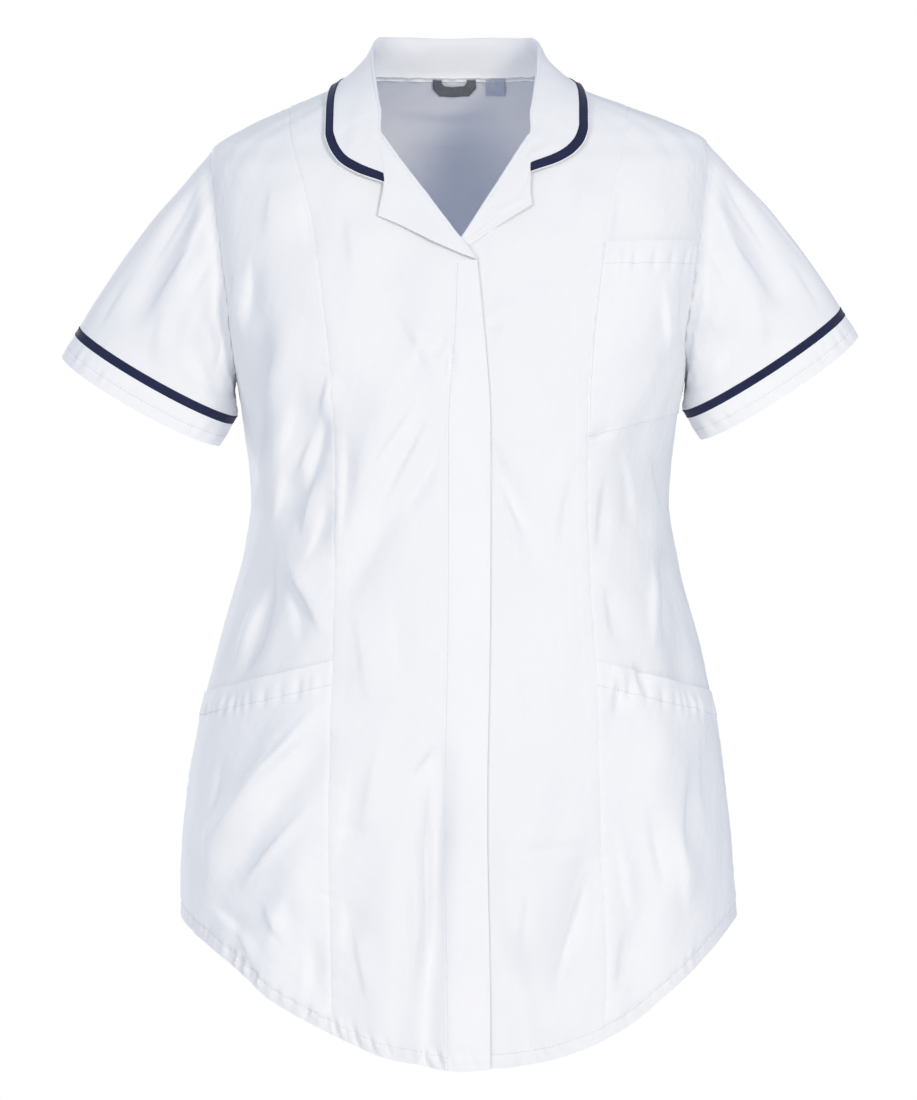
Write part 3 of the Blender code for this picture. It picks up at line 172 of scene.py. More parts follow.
panelLines = {
    # seam between centre and side fronts: height, distance on the wearer's right, and left
    "princess": [
        (-830, 104, 115), (-790, 104, 117), (-720, 104, 119.5), (-643, 104, 117.5), (-520, 103, 113),
        (-440, 101.5, 107), (-357, 101, 104), (-275, 103.6, 104.5), (-190, 112.5, 111.5),
        (-150, 118, 117), (-107, 125.5, 125.5), (-68, 136, 136), (-44, 140.5, 140.5), (-20, 141, 141),
    ],
    # hem: distance from the middle, height on the wearer's right, left, and behind
    "hem": [
        (0, -819, -812, -800), (25, -817, -816.5, -798), (50, -810, -815, -793), (75, -802, -810, -786),
        (104, -789.5, -800.5, -774), (132, -776, -787, -760), (152, -764, -774.5, -748),
        (167, -751, -762.5, -738), (182, -740, -749.5, -728), (197, -729, -736.5, -719),
        (211, -719, -722.5, -711), (224, -709.5, -710, -704), (233, -702, -702, -700),
    ],
    "hemTurn": 12.5,
    "hemEnd": 232.5,
    # opening: height, x of the upper front's edge, of its stitch line, and of the lower front's edge
    "opening": [
        (-830, 24.5, -11.5, -12.5), (-300, 24.5, -11.5, -12.5),
        (-218, 19.5, -6, -11), (-157, 13.8, -4, -8.5),
    ],
    # neck opening: height, distance from the middle
    "neck": [(-146, 0), (-120, 18.4), (-97, 34.5), (-80, 46.3), (-60, 59), (-40, 65.5), (-20, 71), (0, 75)],
    # heights of each front's corner, the armpit and the outer end of the shoulder
    "upperTop": -162.0,
    "lowerTop": -157.0,
    "armpit": -250.0,
    "shoulder": -60.0,
    "armholeReach": 27.0,  # degrees round the body
    "armholeRoundness": 0.8,
    # heights at the seam between the fronts, and at the side seam
    "pocketMouth": (-487.5, -517.0),
    "chestPocketFoot": (-307.0, -286.0),
    "chestPocketTop": -146.0,
    "chestPocketTurn": 84.0,  # where its top meets the armhole, in degrees of the half outline
    "underarm": -262.0,
    "yokeShare": 6 / 9,  # of the shoulder rows
    "yokeCentre": -66.0,
    "neckBack": 5.0,
    "neckSide": 75.0,
    "neckRound": 0.8,
    "underlap": (1.7, 16.0),  # how far the lower front lies below the upper one, and over what distance
    "neckShares": (0.16, 0.3),  # how far across the band and the underlap reach above the neck's corner
    # grid cells up from the hem, and across each panel
    "rows": {"hem": 8, "skirt": 92, "waist": 58, "chest": 14, "arm": 40, "shoulder": 45},
    "columns": {"side": 96, "front": 64, "band": 16, "under": 16, "back": 198},
}


def smoothStep(share):
    # three times the square less twice the cube, from 0 to 1
    share = np.clip(share, 0.0, 1.0)
    return share * share * (3 - 2 * share)


def bell(away, width):
    # 1 in the middle, and 1 / e at the width
    return np.exp(-((away / width) ** 2))


def column(table, index):
    return [row[index] for row in table]


def smoothCurve(knots, values):
    # a cubic through the points whose slopes are harmonic means, so it never swings past them
    order = np.argsort(knots)
    knots, values = np.asarray(knots, float)[order], np.asarray(values, float)[order]
    step = np.diff(knots)
    slope = np.diff(values) / step
    product = slope[:-1] * slope[1:]
    total = np.where(product > 0, slope[:-1] + slope[1:], 1.0)
    tangent = np.concatenate([slope[:1], np.where(product > 0, 2 * product / total, 0.0), slope[-1:]])

    def at(x):
        x = np.clip(x, knots[0], knots[-1])
        i = np.clip(np.searchsorted(knots, x) - 1, 0, len(step) - 1)
        t = (x - knots[i]) / step[i]
        lead = (t - 2 * t**2 + t**3) * step[i] * tangent[i]
        trail = (t**3 - t**2) * step[i] * tangent[i + 1]
        return values[i] + (3 * t**2 - 2 * t**3) * (values[i + 1] - values[i]) + lead + trail

    return at


def tableCurve(table, index):
    # a smooth curve through one column of a table, against its first column
    return smoothCurve(column(table, 0), column(table, index))


def unit(vectors):
    return vectors / np.maximum(np.linalg.norm(vectors, axis=-1, keepdims=True), 1e-9)


halfWidth, frontDepth, backDepth, squareness = [tableCurve(bodyForm["sections"], i) for i in (1, 2, 3, 4)]


def plainBody(angle, height):
    # a rounded rectangle at each height: x and y are the half width and depth times the sine and
    # cosine of the angle from centre front, over the superellipse norm of that sine and cosine
    turn = np.radians(angle)
    across, ahead = np.sin(turn), np.cos(turn)
    power = squareness(height)
    reach = (np.abs(across) ** power + np.abs(ahead) ** power) ** (-1 / power)
    depth = np.where(ahead > 0, frontDepth(height), backDepth(height))
    x = halfWidth(height) * reach * across
    return np.stack([x, -depth * reach * ahead, height + 0 * x], axis=-1)


def surfaceNormals(surface, angle, height):
    # the cross product of a short step round the surface and one up it
    turnStep, heightStep = 0.2, 0.4
    roundIt = surface(angle + turnStep, height) - surface(angle - turnStep, height)
    upIt = surface(angle, height + heightStep) - surface(angle, height - heightStep)
    return unit(np.cross(roundIt, upIt))


def foldRise(x, z, table, taperShare, lean=1.0):
    # the sum of bell-shaped ridges and troughs about line segments, faded out at both ends, and
    # where they lean, narrower on one side of the line than on the other
    rise = np.zeros(np.shape(x))
    for x0, z0, x1, z1, width, start, end in table:
        run = (x1 - x0) ** 2 + (z1 - z0) ** 2
        along = np.clip(((x - x0) * (x1 - x0) + (z - z0) * (z1 - z0)) / run, 0, 1)
        away = (x - x0 - along * (x1 - x0)) ** 2 + (z - z0 - along * (z1 - z0)) ** 2
        beside = (x - x0) * (z1 - z0) - (z - z0) * (x1 - x0)
        reach = width * np.where(beside > 0, lean, 1 / lean)
        taper = smoothStep(along / taperShare) * smoothStep((1 - along) / taperShare)
        rise += (start + along * (end - start)) * taper * np.exp(-away / reach**2)
    return rise


def riseOnBody(flat, height, form):
    # a form's front folds before the side seams and its back ones behind them, none at the seams
    ahead = -flat[..., 1]
    depth = np.where(ahead > 0, frontDepth(height), backDepth(height))
    clear = smoothStep(np.abs(ahead) / depth / form["clearOfSide"])
    front, behind = [
        foldRise(flat[..., 0], flat[..., 2], form[half], form["taper"], form["lean"])
        for half in ("front", "back")
    ]
    return form["strength"] * clear * np.where(ahead > 0, front, form["behindShare"] * behind)


def foldedBody(angle, height):
    # the plain body plus the big folds along its normals
    base = plainBody(angle, height)
    return base + surfaceNormals(plainBody, angle, height) * riseOnBody(base, height, bigFolds)[..., None]


waveMix = np.random.default_rng(7)
waveTurns = waveMix.uniform(0, math.pi, 14)
waveSteps = waveMix.uniform(0.6, 1.7, 14)
wavePhases = waveMix.uniform(0, 2 * math.pi, 14)


def unevenWaves(u, v, spacing):
    # a sum of fourteen sine waves in set but uneven directions and lengths round the spacing
    total = np.zeros(np.broadcast(u, v).shape)
    for turn, step, phase in zip(waveTurns, waveSteps, wavePhases):
        total += np.sin(2 * math.pi * step / spacing * (u * math.cos(turn) + v * math.sin(turn)) + phase)
    return total / math.sqrt(7)


def clothOnBody(angle, height):
    # the folded body plus the small creases and an uneven grain along its normals
    angle, height = np.asarray(angle, float), np.asarray(height, float)
    base = foldedBody(angle, height)
    out = surfaceNormals(foldedBody, angle, height)
    rise = riseOnBody(plainBody(angle, height), height, creases)
    around = np.radians(angle) * creases["girth"]
    for size, spacing, share in creases["grain"]:
        rise = rise + size * unevenWaves(around, height * share, spacing)
    return base + out * rise[..., None], out


poseForm = {
    # move along x, its reach, and the height where it starts and over which it grows
    "neckLean": (-5.0, 125.0, -150.0, 110.0),
    # slope, distance from the middle and ease of its start, and the same two heights
    "shoulderTilt": (0.042, 128.0, 10.0, -430.0, 160.0),
    # move along x, the height where it is greatest, and its reach
    "hipSway": (-2.8, -610.0, 110.0),
}


def posed(points):
    # the neck leans to one side, the shoulders tilt and the hips sway a little
    x, y, z = points[..., 0], points[..., 1], points[..., 2]
    lean, reach, low, growth = poseForm["neckLean"]
    moved = lean * smoothStep((z - low) / growth) * bell(x, reach)
    slope, start, ease, low, growth = poseForm["shoulderTilt"]
    beyond = ease * np.logaddexp(0, (np.abs(x) - start) / ease)
    tilt = slope * np.sign(x) * beyond * smoothStep((z - low) / growth)
    sway, level, reach = poseForm["hipSway"]
    moved = moved + sway * bell(z - level, reach)
    return np.stack([x + moved, y, z + tilt], axis=-1)


def angleAt(x, height):
    # the angle from centre front at a distance x: the plain body's formula solved for it
    share = np.clip(np.abs(x) / halfWidth(height), 0, 1)
    power = squareness(height)
    return np.sign(x) * np.degrees(np.arctan2(share, (1 - share**power) ** (1 / power)))


# Materials

def linearColour(hexColour):
    # an sRGB hex value as linear red, green and blue, and a full alpha
    parts = [int(hexColour[i : i + 2], 16) / 255 for i in (1, 3, 5)]
    return tuple(p / 12.92 if p <= 0.04045 else ((p + 0.055) / 1.055) ** 2.4 for p in parts) + (1.0,)


def addNode(tree, kind, settings=None, links=None):
    # a node with its settings, which are inputs or properties, and its links
    made = tree.nodes.new(kind)
    for key, value in (settings or {}).items():
        if key in made.inputs:
            made.inputs[key].default_value = value
        else:
            setattr(made, key, value)
    for key, source in (links or {}).items():
        tree.links.new(source, made.inputs[key])
    return made


def clothMaterial(name, look):
    # Woven cloth: two crossing sets of threads from the piece's own length and width in metres,
    # a slow mottle in its colour, and a soft uneven bump where the cloth has been handled.
    made = bpy.data.materials.new(name)
    made.use_nodes = True
    tree = made.node_tree
    shader = tree.nodes["Principled BSDF"]
    shader.inputs["Metallic"].default_value = 0.0
    shader.inputs["IOR"].default_value = 1.46
    shader.inputs["Sheen Weight"].default_value = look.get("sheen", 0.1)
    shader.inputs["Sheen Roughness"].default_value = 0.5
    shader.inputs["Specular IOR Level"].default_value = look.get("specular", 0.25)
    uv = addNode(tree, "ShaderNodeUVMap", {"uv_map": "cut"})
    place = addNode(tree, "ShaderNodeTexCoord")
    onPiece = {"Vector": place.outputs["Object"]}
    mottle = addNode(tree, "ShaderNodeTexNoise", {"Scale": look["mottleScale"], "Detail": 4.0}, onPiece)
    shade = addNode(tree, "ShaderNodeValToRGB", None, {"Fac": mottle.outputs["Fac"]})
    shade.color_ramp.elements[0].position = 0.3
    shade.color_ramp.elements[0].color = linearColour(look["deep"])
    shade.color_ramp.elements[1].position = 0.7
    shade.color_ramp.elements[1].color = linearColour(look["pale"])
    tree.links.new(shade.outputs["Color"], shader.inputs["Base Color"])
    # a wave texture at scale 1 repeats every 2 pi / 20 of a metre
    waveScale = 2 * math.pi / 20 * 1000.0 / look["threadSpacing"]
    turned = addNode(
        tree, "ShaderNodeMapping", {"Rotation": (0, 0, look.get("turn", 0.0))}, {"Vector": uv.outputs["UV"]}
    )
    weave = addNode(tree, "ShaderNodeMath", {"operation": "MULTIPLY"})
    for socket, direction in zip(weave.inputs, ("X", "Y")):
        threads = addNode(
            tree, "ShaderNodeTexWave",
            {"bands_direction": direction, "Scale": waveScale, "Distortion": 0.6, "Detail": 1.0},
            {"Vector": turned.outputs["Vector"]},
        )
        tree.links.new(threads.outputs["Fac"], socket)
    soft = addNode(
        tree, "ShaderNodeTexNoise", {"Scale": look["handledScale"], "Detail": 5.0, "Roughness": 0.55}, onPiece
    )
    spread = {"To Min": look["roughness"] - 0.05, "To Max": look["roughness"] + 0.05}
    rough = addNode(tree, "ShaderNodeMapRange", spread, {"Value": soft.outputs["Fac"]})
    tree.links.new(rough.outputs["Result"], shader.inputs["Roughness"])
    softBump = addNode(
        tree, "ShaderNodeBump", {"Strength": look["handledStrength"], "Distance": 0.0006},
        {"Height": soft.outputs["Fac"]},
    )
    bump = addNode(
        tree, "ShaderNodeBump", {"Strength": look["weaveStrength"], "Distance": 0.0001},
        {"Height": weave.outputs["Value"], "Normal": softBump.outputs["Normal"]},
    )
    tree.links.new(bump.outputs["Normal"], shader.inputs["Normal"])
    return made


# Polyester and cotton twill, bleached and pressed: a matt blue-white with hardly any sheen. Its
# threads lie 0.25 mm apart, too fine for the render, so they are drawn 1.1 mm apart and faint.
whiteTwill = clothMaterial("whiteTwill", {
    "pale": "#F5F6F8", "deep": "#F1F3F6", "mottleScale": 9.0, "threadSpacing": 1.1,
    "turn": math.radians(32), "handledScale": 85.0, "handledStrength": 0.16, "weaveStrength": 0.08,
    "roughness": 0.84,
})
# The same twill cut for what is sewn on, a touch brighter where it lies double.
doubledTwill = clothMaterial("doubledTwill", {
    "pale": "#F7F8FA", "deep": "#F3F5F8", "mottleScale": 11.0, "threadSpacing": 1.1,
    "turn": math.radians(32), "handledScale": 95.0, "handledStrength": 0.16, "weaveStrength": 0.08,
    "roughness": 0.84,
})
# Ribbed polyester braid, dyed navy: matt, with cross ribs 0.6 mm apart drawn at 1 mm.
navyBraid = clothMaterial("navyBraid", {
    "pale": "#1F274D", "deep": "#171E3F", "mottleScale": 60.0, "threadSpacing": 1.0, "sheen": 0.25,
    "handledScale": 160.0, "handledStrength": 0.1, "weaveStrength": 0.5, "roughness": 0.78,
})
# Flat grey webbing tape, woven in narrow ribs.
greyWebbing = clothMaterial("greyWebbing", {
    "pale": "#7C7E82", "deep": "#6C6E72", "mottleScale": 90.0, "threadSpacing": 0.9, "sheen": 0.2,
    "handledScale": 160.0, "handledStrength": 0.1, "weaveStrength": 0.5, "roughness": 0.72,
})
# Satin label ribbon: closer threads and a little gloss.
labelSatin = clothMaterial("labelSatin", {
    "pale": "#C4CBDA", "deep": "#B8C0D2", "mottleScale": 90.0, "threadSpacing": 0.6, "specular": 0.5,
    "handledScale": 160.0, "handledStrength": 0.06, "weaveStrength": 0.25, "roughness": 0.5,
})


def threadMaterial(name, colour):
    # Spun polyester sewing thread: matt, twisted, with a faint change of tone along it.
    made = bpy.data.materials.new(name)
    made.use_nodes = True
    tree = made.node_tree
    shader = tree.nodes["Principled BSDF"]
    shader.inputs["Roughness"].default_value = 0.7
    place = addNode(tree, "ShaderNodeTexCoord")
    tone = addNode(tree, "ShaderNodeTexNoise", {"Scale": 900.0}, {"Vector": place.outputs["Object"]})
    shade = addNode(tree, "ShaderNodeValToRGB", None, {"Fac": tone.outputs["Fac"]})
    base = linearColour(colour)
    shade.color_ramp.elements[0].color = tuple(c * 0.85 for c in base[:3]) + (1.0,)
    shade.color_ramp.elements[1].color = base
    tree.links.new(shade.outputs["Color"], shader.inputs["Base Color"])
    return made


whiteThread = threadMaterial("whiteThread", "#E9ECF3")
navyThread = threadMaterial("navyThread", "#1F284E")
greyThread = threadMaterial("greyThread", "#6E7074")


clothKinds = {
    # finish and slot
    "twill": (whiteTwill, "white_polycotton"),
    "doubled": (doubledTwill, "white_polycotton_trim"),
    "cuff": (doubledTwill, "white_polycotton"),
    "braid": (navyBraid, "navy_braid"),
    "webbing": (greyWebbing, "grey_tape"),
    "label": (labelSatin, "woven_label"),
}


# Meshes from grids

def arcLengths(grid, axis):
    # running length along one way of a grid, from its first line
    step = np.linalg.norm(np.diff(grid, axis=axis), axis=-1)
    start = np.zeros_like(np.take(step, [0], axis=axis))
    return np.cumsum(np.concatenate([start, step], axis=axis), axis=axis)


def borderDistances(grid):
    # distances along the cloth from its bottom, top, first and last borders
    up, across = arcLengths(grid, 0), arcLengths(grid, 1)
    return up, up[-1:] - up, across, across[:, -1:] - across


def meshPiece(name, points, quads, finish, uv=None):
    # posed points and their faces as one object in metres, sharp only past 60 degrees
    mesh = bpy.data.meshes.new(name)
    mesh.vertices.add(len(points))
    mesh.vertices.foreach_set("co", (posed(points) * millimetre).astype(np.float32).ravel())
    mesh.loops.add(quads.size)
    mesh.loops.foreach_set("vertex_index", quads.astype(np.int32).ravel())
    mesh.polygons.add(len(quads))
    mesh.polygons.foreach_set("loop_start", np.arange(0, quads.size, quads.shape[1], dtype=np.int32))
    mesh.update(calc_edges=True)
    mesh.validate()
    if uv is not None:
        layer = mesh.uv_layers.new(name="cut")
        layer.data.foreach_set("uv", (uv[quads.ravel()] * millimetre).astype(np.float32).ravel())
    mesh.materials.append(finish)
    mesh.shade_smooth()
    mesh.set_sharp_from_angle(angle=math.radians(60))
    made = bpy.data.objects.new(name, mesh)
    bpy.context.scene.collection.objects.link(made)
    return made


sheetFacts = []
pieceLines = {}  # the middle and the normals of each piece, for its stitches


def clothShell(name, middle, out, kind, node, restsOn, thickness=clothThickness):
    # two layers half a thickness to each side of a grid's middle, closed round the rim
    rows, columns = middle.shape[:2]
    number = np.arange(rows * columns).reshape(rows, columns)
    behind = rows * columns
    a, b, c, d = number[:-1, :-1], number[:-1, 1:], number[1:, 1:], number[1:, :-1]
    faces = np.stack([a, b, c, d], -1).reshape(-1, 4)
    rims = [(number[0, :-1], number[0, 1:]), (number[-1, ::-1][:-1], number[-1, ::-1][1:])]
    rims += [(number[::-1, 0][:-1], number[::-1, 0][1:]), (number[:-1, -1], number[1:, -1])]
    sides = [np.stack([q, p, p + behind, q + behind], -1) for p, q in rims]
    quads = np.concatenate([faces, faces[:, ::-1] + behind] + sides)
    i, j = rows // 2, columns // 2
    facing = np.cross(middle[i, j + 1] - middle[i, j], middle[i + 1, j] - middle[i, j])
    if (facing * out[i, j]).sum() < 0:
        quads = quads[:, ::-1]
    half = out * thickness / 2
    points = np.concatenate([(middle + half).reshape(-1, 3), (middle - half).reshape(-1, 3)])
    up, across = arcLengths(middle, 0), arcLengths(middle, 1)
    uv = np.stack([across, up + 0 * across], -1).reshape(-1, 2)
    finish, slot = clothKinds[kind]
    made = meshPiece(name, points, quads, finish, np.concatenate([uv, uv]))
    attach(made, "root")
    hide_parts(node)
    cell = np.cross(middle[:-1, 1:] - middle[:-1, :-1], middle[1:, :-1] - middle[:-1, :-1])
    area = np.linalg.norm(cell, axis=-1).sum() * 1e-6
    leastSide = 0.01
    width, length = max(across.max() * millimetre, leastSide), max(up.max() * millimetre, leastSide)
    area = min(area, width * length)
    sheetFacts.append((name, round(width * 1000), round(length * 1000), round(area * 10000)))
    pieceLines[name] = (middle, out)


# Stitches

stitchForm = {
    "length": 2.3,
    "pitch": 3.0,
    "radius": 0.22,
    "proud": 0.12,
    "sides": 4,
    # how far each line lies in from an edge
    "placket": 2.2,
    "pocket": 1.6,
    "yoke": (1.8, 7.0),
    "cuff": 9.5,
    "tape": 0.9,
    "label": 1.2,
    "loop": 1.0,
}


def insetLine(middle, out, border, distance):
    # the line on a grid at a set distance in from one border, between the two nearest grid lines
    if border in ("bottom", "top"):
        middle, out = middle.swapaxes(0, 1), out.swapaxes(0, 1)
    if border in ("top", "last"):
        middle, out = middle[:, ::-1], out[:, ::-1]
    reach = arcLengths(middle, 1)
    count = middle.shape[1]
    index = np.clip((reach < distance).sum(axis=1) - 1, 0, count - 2)
    rows = np.arange(len(middle))
    low, high = reach[rows, index], reach[rows, index + 1]
    share = np.clip((distance - low) / np.maximum(high - low, 1e-6), 0, 1)[:, None]
    line = middle[rows, index] * (1 - share) + middle[rows, index + 1] * share
    facing = out[rows, index] * (1 - share) + out[rows, index + 1] * share
    return line, unit(facing)


def stitchMesh(lines, lift):
    # capsules laid end to end along each line, each dipping into the cloth at both ends
    form = stitchForm
    centres, tangents, normals = [], [], []
    for line, facing in lines:
        length = arcLengths(line, 0)
        marks = np.arange(form["pitch"] / 2, length[-1] - form["pitch"] / 2, form["pitch"])
        at = lambda marks: np.stack([np.interp(marks, length, line[:, i]) for i in range(3)], 1)
        centres.append(at(marks))
        tangents.append(unit(at(marks + 0.4) - at(marks - 0.4)))
        normals.append(unit(np.stack([np.interp(marks, length, facing[:, i]) for i in range(3)], 1)))
    centres, tangents, normals = map(np.concatenate, (centres, tangents, normals))
    sideways = unit(np.cross(normals, tangents))
    normals = np.cross(tangents, sideways)
    along = np.array([-0.5, -0.3, 0.3, 0.5]) * form["length"]
    girth = np.array([0.35, 1.0, 1.0, 0.35]) * form["radius"]
    rise = np.array([-0.9, 0.4, 0.4, -0.9]) * form["radius"] + lift + form["proud"]
    turn = np.linspace(0, 2 * math.pi, form["sides"], endpoint=False)
    points = (
        centres[:, None, None]
        + tangents[:, None, None] * along[None, :, None, None]
        + normals[:, None, None] * (rise[:, None] + girth[:, None] * np.sin(turn))[None, :, :, None]
        + sideways[:, None, None] * (girth[:, None] * np.cos(turn))[None, :, :, None]
    )
    sides = form["sides"]
    i, j = np.meshgrid(np.arange(3), np.arange(sides), indexing="ij")
    k = (j + 1) % sides
    quads = np.stack([i * sides + j, i * sides + k, (i + 1) * sides + k, (i + 1) * sides + j], -1)
    quads = quads.reshape(-1, 4)
    ends = np.array([[3, 2, 1, 0], [3 * sides, 3 * sides + 1, 3 * sides + 2, 3 * sides + 3]])
    quads = np.concatenate([quads, ends])
    perStitch = 4 * sides
    quads = (quads[None] + np.arange(len(centres))[:, None, None] * perStitch).reshape(-1, 4)
    return points.reshape(-1, 3), quads


def sewPiece(name, lines, finish, slot, lift):
    # all the stitches of one kind as one piece
    points, quads = stitchMesh(lines, lift)
    made = meshPiece(name, points, quads, finish)
    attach(made, "root")


# Body panels

def spreadAlong(path, keys, counts):
    # even steps along a path of angles and heights, a set number of them between its key points
    length = arcLengths(plainBody(path[:, 0], path[:, 1]), 0)
    places = [length[key] for key in keys]
    marks = [np.linspace(p, q, n, endpoint=False) for p, q, n in zip(places, places[1:], counts)]
    marks = np.concatenate(marks + [[places[-1]]])
    return np.stack([np.interp(marks, length, path[:, 0]), np.interp(marks, length, path[:, 1])], 1)


def nearestRows(values, wanted):
    # the place of the value nearest to each wanted one
    return [int(np.argmin(np.abs(values - w))) for w in wanted]


def hemHeight(angle, index):
    # the hem's height at an angle, which is folded back into a quarter of the body
    x = np.linspace(0, panelLines["hemEnd"], 400)
    z = tableCurve(panelLines["hem"], index)(x)
    away = np.abs((np.asarray(angle) + 180) % 360 - 180)
    away = np.where(away > 90, 180 - away, away)
    return np.interp(away, np.abs(angleAt(x, z)), z)


rowCounts = panelLines["rows"]
hemTurn = panelLines["hemTurn"]


def armholeSteps(side, behind):
    # half of a rounded outline from the armpit up to the shoulder
    turn = np.radians(np.linspace(180, 0, 800))
    low, high = panelLines["armpit"], panelLines["shoulder"]
    height = (low + high) / 2 - (low - high) / 2 * np.cos(turn)
    reach = panelLines["armholeReach"] * np.sin(turn) ** panelLines["armholeRoundness"]
    angle = side * (90 + reach) if behind else side * (90 - reach)
    path = np.stack([angle, height], axis=1)
    top = int(len(path) * (1 - panelLines["chestPocketTurn"] / 180))
    return spreadAlong(path, [0, top, len(path) - 1], [rowCounts["arm"], rowCounts["shoulder"]])


def sideEdge(side, behind):
    # the side seam straight up to the armpit, and then the armhole
    hem = float(hemHeight(90.0, 1))
    height = np.linspace(hem, panelLines["armpit"], 2000)
    path = np.stack([np.full(2000, side * 90.0), height], axis=1)
    marks = [hem, hem + hemTurn, panelLines["pocketMouth"][1], panelLines["chestPocketFoot"][1]]
    marks.append(panelLines["armpit"])
    counts = [rowCounts[k] for k in ("hem", "skirt", "waist", "chest")]
    seam = spreadAlong(path, nearestRows(height, marks), counts)
    return np.concatenate([seam, armholeSteps(side, behind)[1:]])


def ridgeHeight(x):
    # the height on the shoulder at which the body is x wide from its middle
    heights = np.linspace(-60, 20, 1601)
    return float(np.interp(-abs(x), -halfWidth(heights), heights))


allRows = [rowCounts[k] for k in ("hem", "skirt", "waist", "chest", "arm", "shoulder")]


def princessEdge(side):
    # the seam between the fronts: x from its table, at heights that close up at the top as a sine does
    distance = tableCurve(panelLines["princess"], 1 if side < 0 else 2)
    top = ridgeHeight(distance(-32.0))
    start = float(hemHeight(angleAt(distance(-795.0), -795.0), 1 if side < 0 else 2))
    height = start + (top - start) * np.sin(np.linspace(0, math.pi / 2, 4000))
    path = np.stack([angleAt(side * distance(height), height), height], axis=1)
    marks = [start, start + hemTurn, panelLines["pocketMouth"][0], panelLines["chestPocketFoot"][0]]
    marks += [panelLines["underarm"], panelLines["chestPocketTop"]]
    return spreadAlong(path, nearestRows(height, marks) + [len(path) - 1], allRows)


def openingEdge(side, upper, xOf, corner):
    # a front's own edge up to its corner, and from there the neck line
    start = float(hemHeight(angleAt(xOf(-815.0), -815.0), 1 if upper else 2))
    height = np.linspace(start, corner, 3000)
    own = np.stack([angleAt(xOf(height), height), height], axis=1)
    distance = tableCurve(panelLines["neck"], 1)
    rise = panelLines["neck"][0][0] * (1 - np.sin(np.linspace(0, math.pi / 2, 1500)))
    line = np.concatenate([[[xOf(corner) * side, corner]], np.stack([distance(rise), rise], axis=1)])
    neck = np.stack([angleAt(side * line[:, 0], line[:, 1]), line[:, 1]], axis=1)
    path = np.concatenate([own[:-1], neck])
    marks = [start, start + hemTurn, panelLines["pocketMouth"][0], panelLines["chestPocketFoot"][0]]
    marks.append(panelLines["underarm"])
    return spreadAlong(path, nearestRows(height, marks) + [len(own) - 1, len(path) - 1], allRows)


def gridBetween(first, second, columns):
    # straight rows between two edges, spaced evenly in x where the panel faces forwards
    share = np.linspace(0, 1, columns + 1)
    angle = first[:, :1] + (second[:, :1] - first[:, :1]) * share
    across = np.sin(np.radians(angle))
    span = across[:, -1:] - across[:, :1]
    eased = np.where(np.abs(span) > 0.05, (across - across[:, :1]) / np.where(span == 0, 1, span), share)
    low = smoothStep((panelLines["underarm"] - first[:, 1:]) / 60 + 0.5)
    mixed = low * eased + (1 - low) * share
    return angle, first[:, 1:] + (second[:, 1:] - first[:, 1:]) * mixed


def curveHem(angle, height, index):
    # the lowest rows bend to the hem's curve, less and less up to the pocket mouths
    first, last = rowCounts["hem"], rowCounts["hem"] + rowCounts["skirt"]
    wanted = hemHeight(angle[0], index)
    fade = np.linspace(1, 0, last - first + 1)[1:]
    share = np.concatenate([np.ones(first + 1), fade, np.zeros(len(height) - last - 1)])
    rise = (wanted - height[0])[None, :] * share[:, None]
    rise[: first + 1] = wanted[None, :] + np.linspace(0, hemTurn, first + 1)[:, None] - height[: first + 1]
    return height + rise


seamForm = {
    "depth": 0.5,  # of the groove
    "width": 1.3,
    "allowance": 0.22,
    "allowanceWidth": 9.0,
    "allowanceEase": 2.5,
    "pucker": 0.26,
    "puckerPitch": 11.0,
    "puckerReach": 6.5,
}


def seamLift(away, along, rises=False, pucker=1.0):
    # a narrow groove at the seam, the turned allowance beside it, and shallow uneven puckers
    form = seamForm
    lift = -form["depth"] * bell(away, form["width"])
    if rises:
        beyond = (away - form["allowanceWidth"]) / form["allowanceEase"]
        lift = lift + form["allowance"] * (1 - smoothStep(beyond))
    waves = unevenWaves(along, 0 * along, form["puckerPitch"] * 1.2)
    return lift + pucker * form["pucker"] * waves * np.exp(-away / form["puckerReach"])


hemForm = {
    "double": 0.45,  # what the turn-up adds
    "stitch": 11.3,
    "ease": 1.4,
    "groove": (0.5, 1.2),  # depth and width
    "pitch": 9.0,
    "slant": 0.35,
    "strong": 2.4,  # puckers on the wearer's right
    "weak": 0.7,  # and on the left
    "puckerReach": 6.5,
    "sideEnd": 231.0,  # where they end, and over what distance
    "sideFade": 30,
}


def hemLift(away, along, x):
    # a double turn-up: raised below its stitch line, a groove at it, and slanting puckers that
    # are strongest on the wearer's right
    form = hemForm
    lift = form["double"] * (1 - smoothStep((away - form["stitch"]) / form["ease"]))
    lift = lift - form["groove"][0] * bell(away - form["stitch"], form["groove"][1])
    size = form["weak"] + (form["strong"] - form["weak"]) * smoothStep((-x + 30) / 90)
    size = size * smoothStep((form["sideEnd"] - np.abs(x)) / form["sideFade"])
    waves = unevenWaves(along + form["slant"] * away, 0.02 * along, form["pitch"] * 1.25)
    band = bell(away - 0.75 * form["stitch"], form["puckerReach"])
    return lift + size * 0.6 * waves * band


mouthForm = {
    "stitch": 20.0,
    "double": 0.3,
    "ease": 2.0,
    "groove": (0.2, 1.1),  # depth and width
    "pucker": 0.75,
    "puckerReach": 8.0,
    "pitch": 13.0,
    "lipReach": 26.0,
}


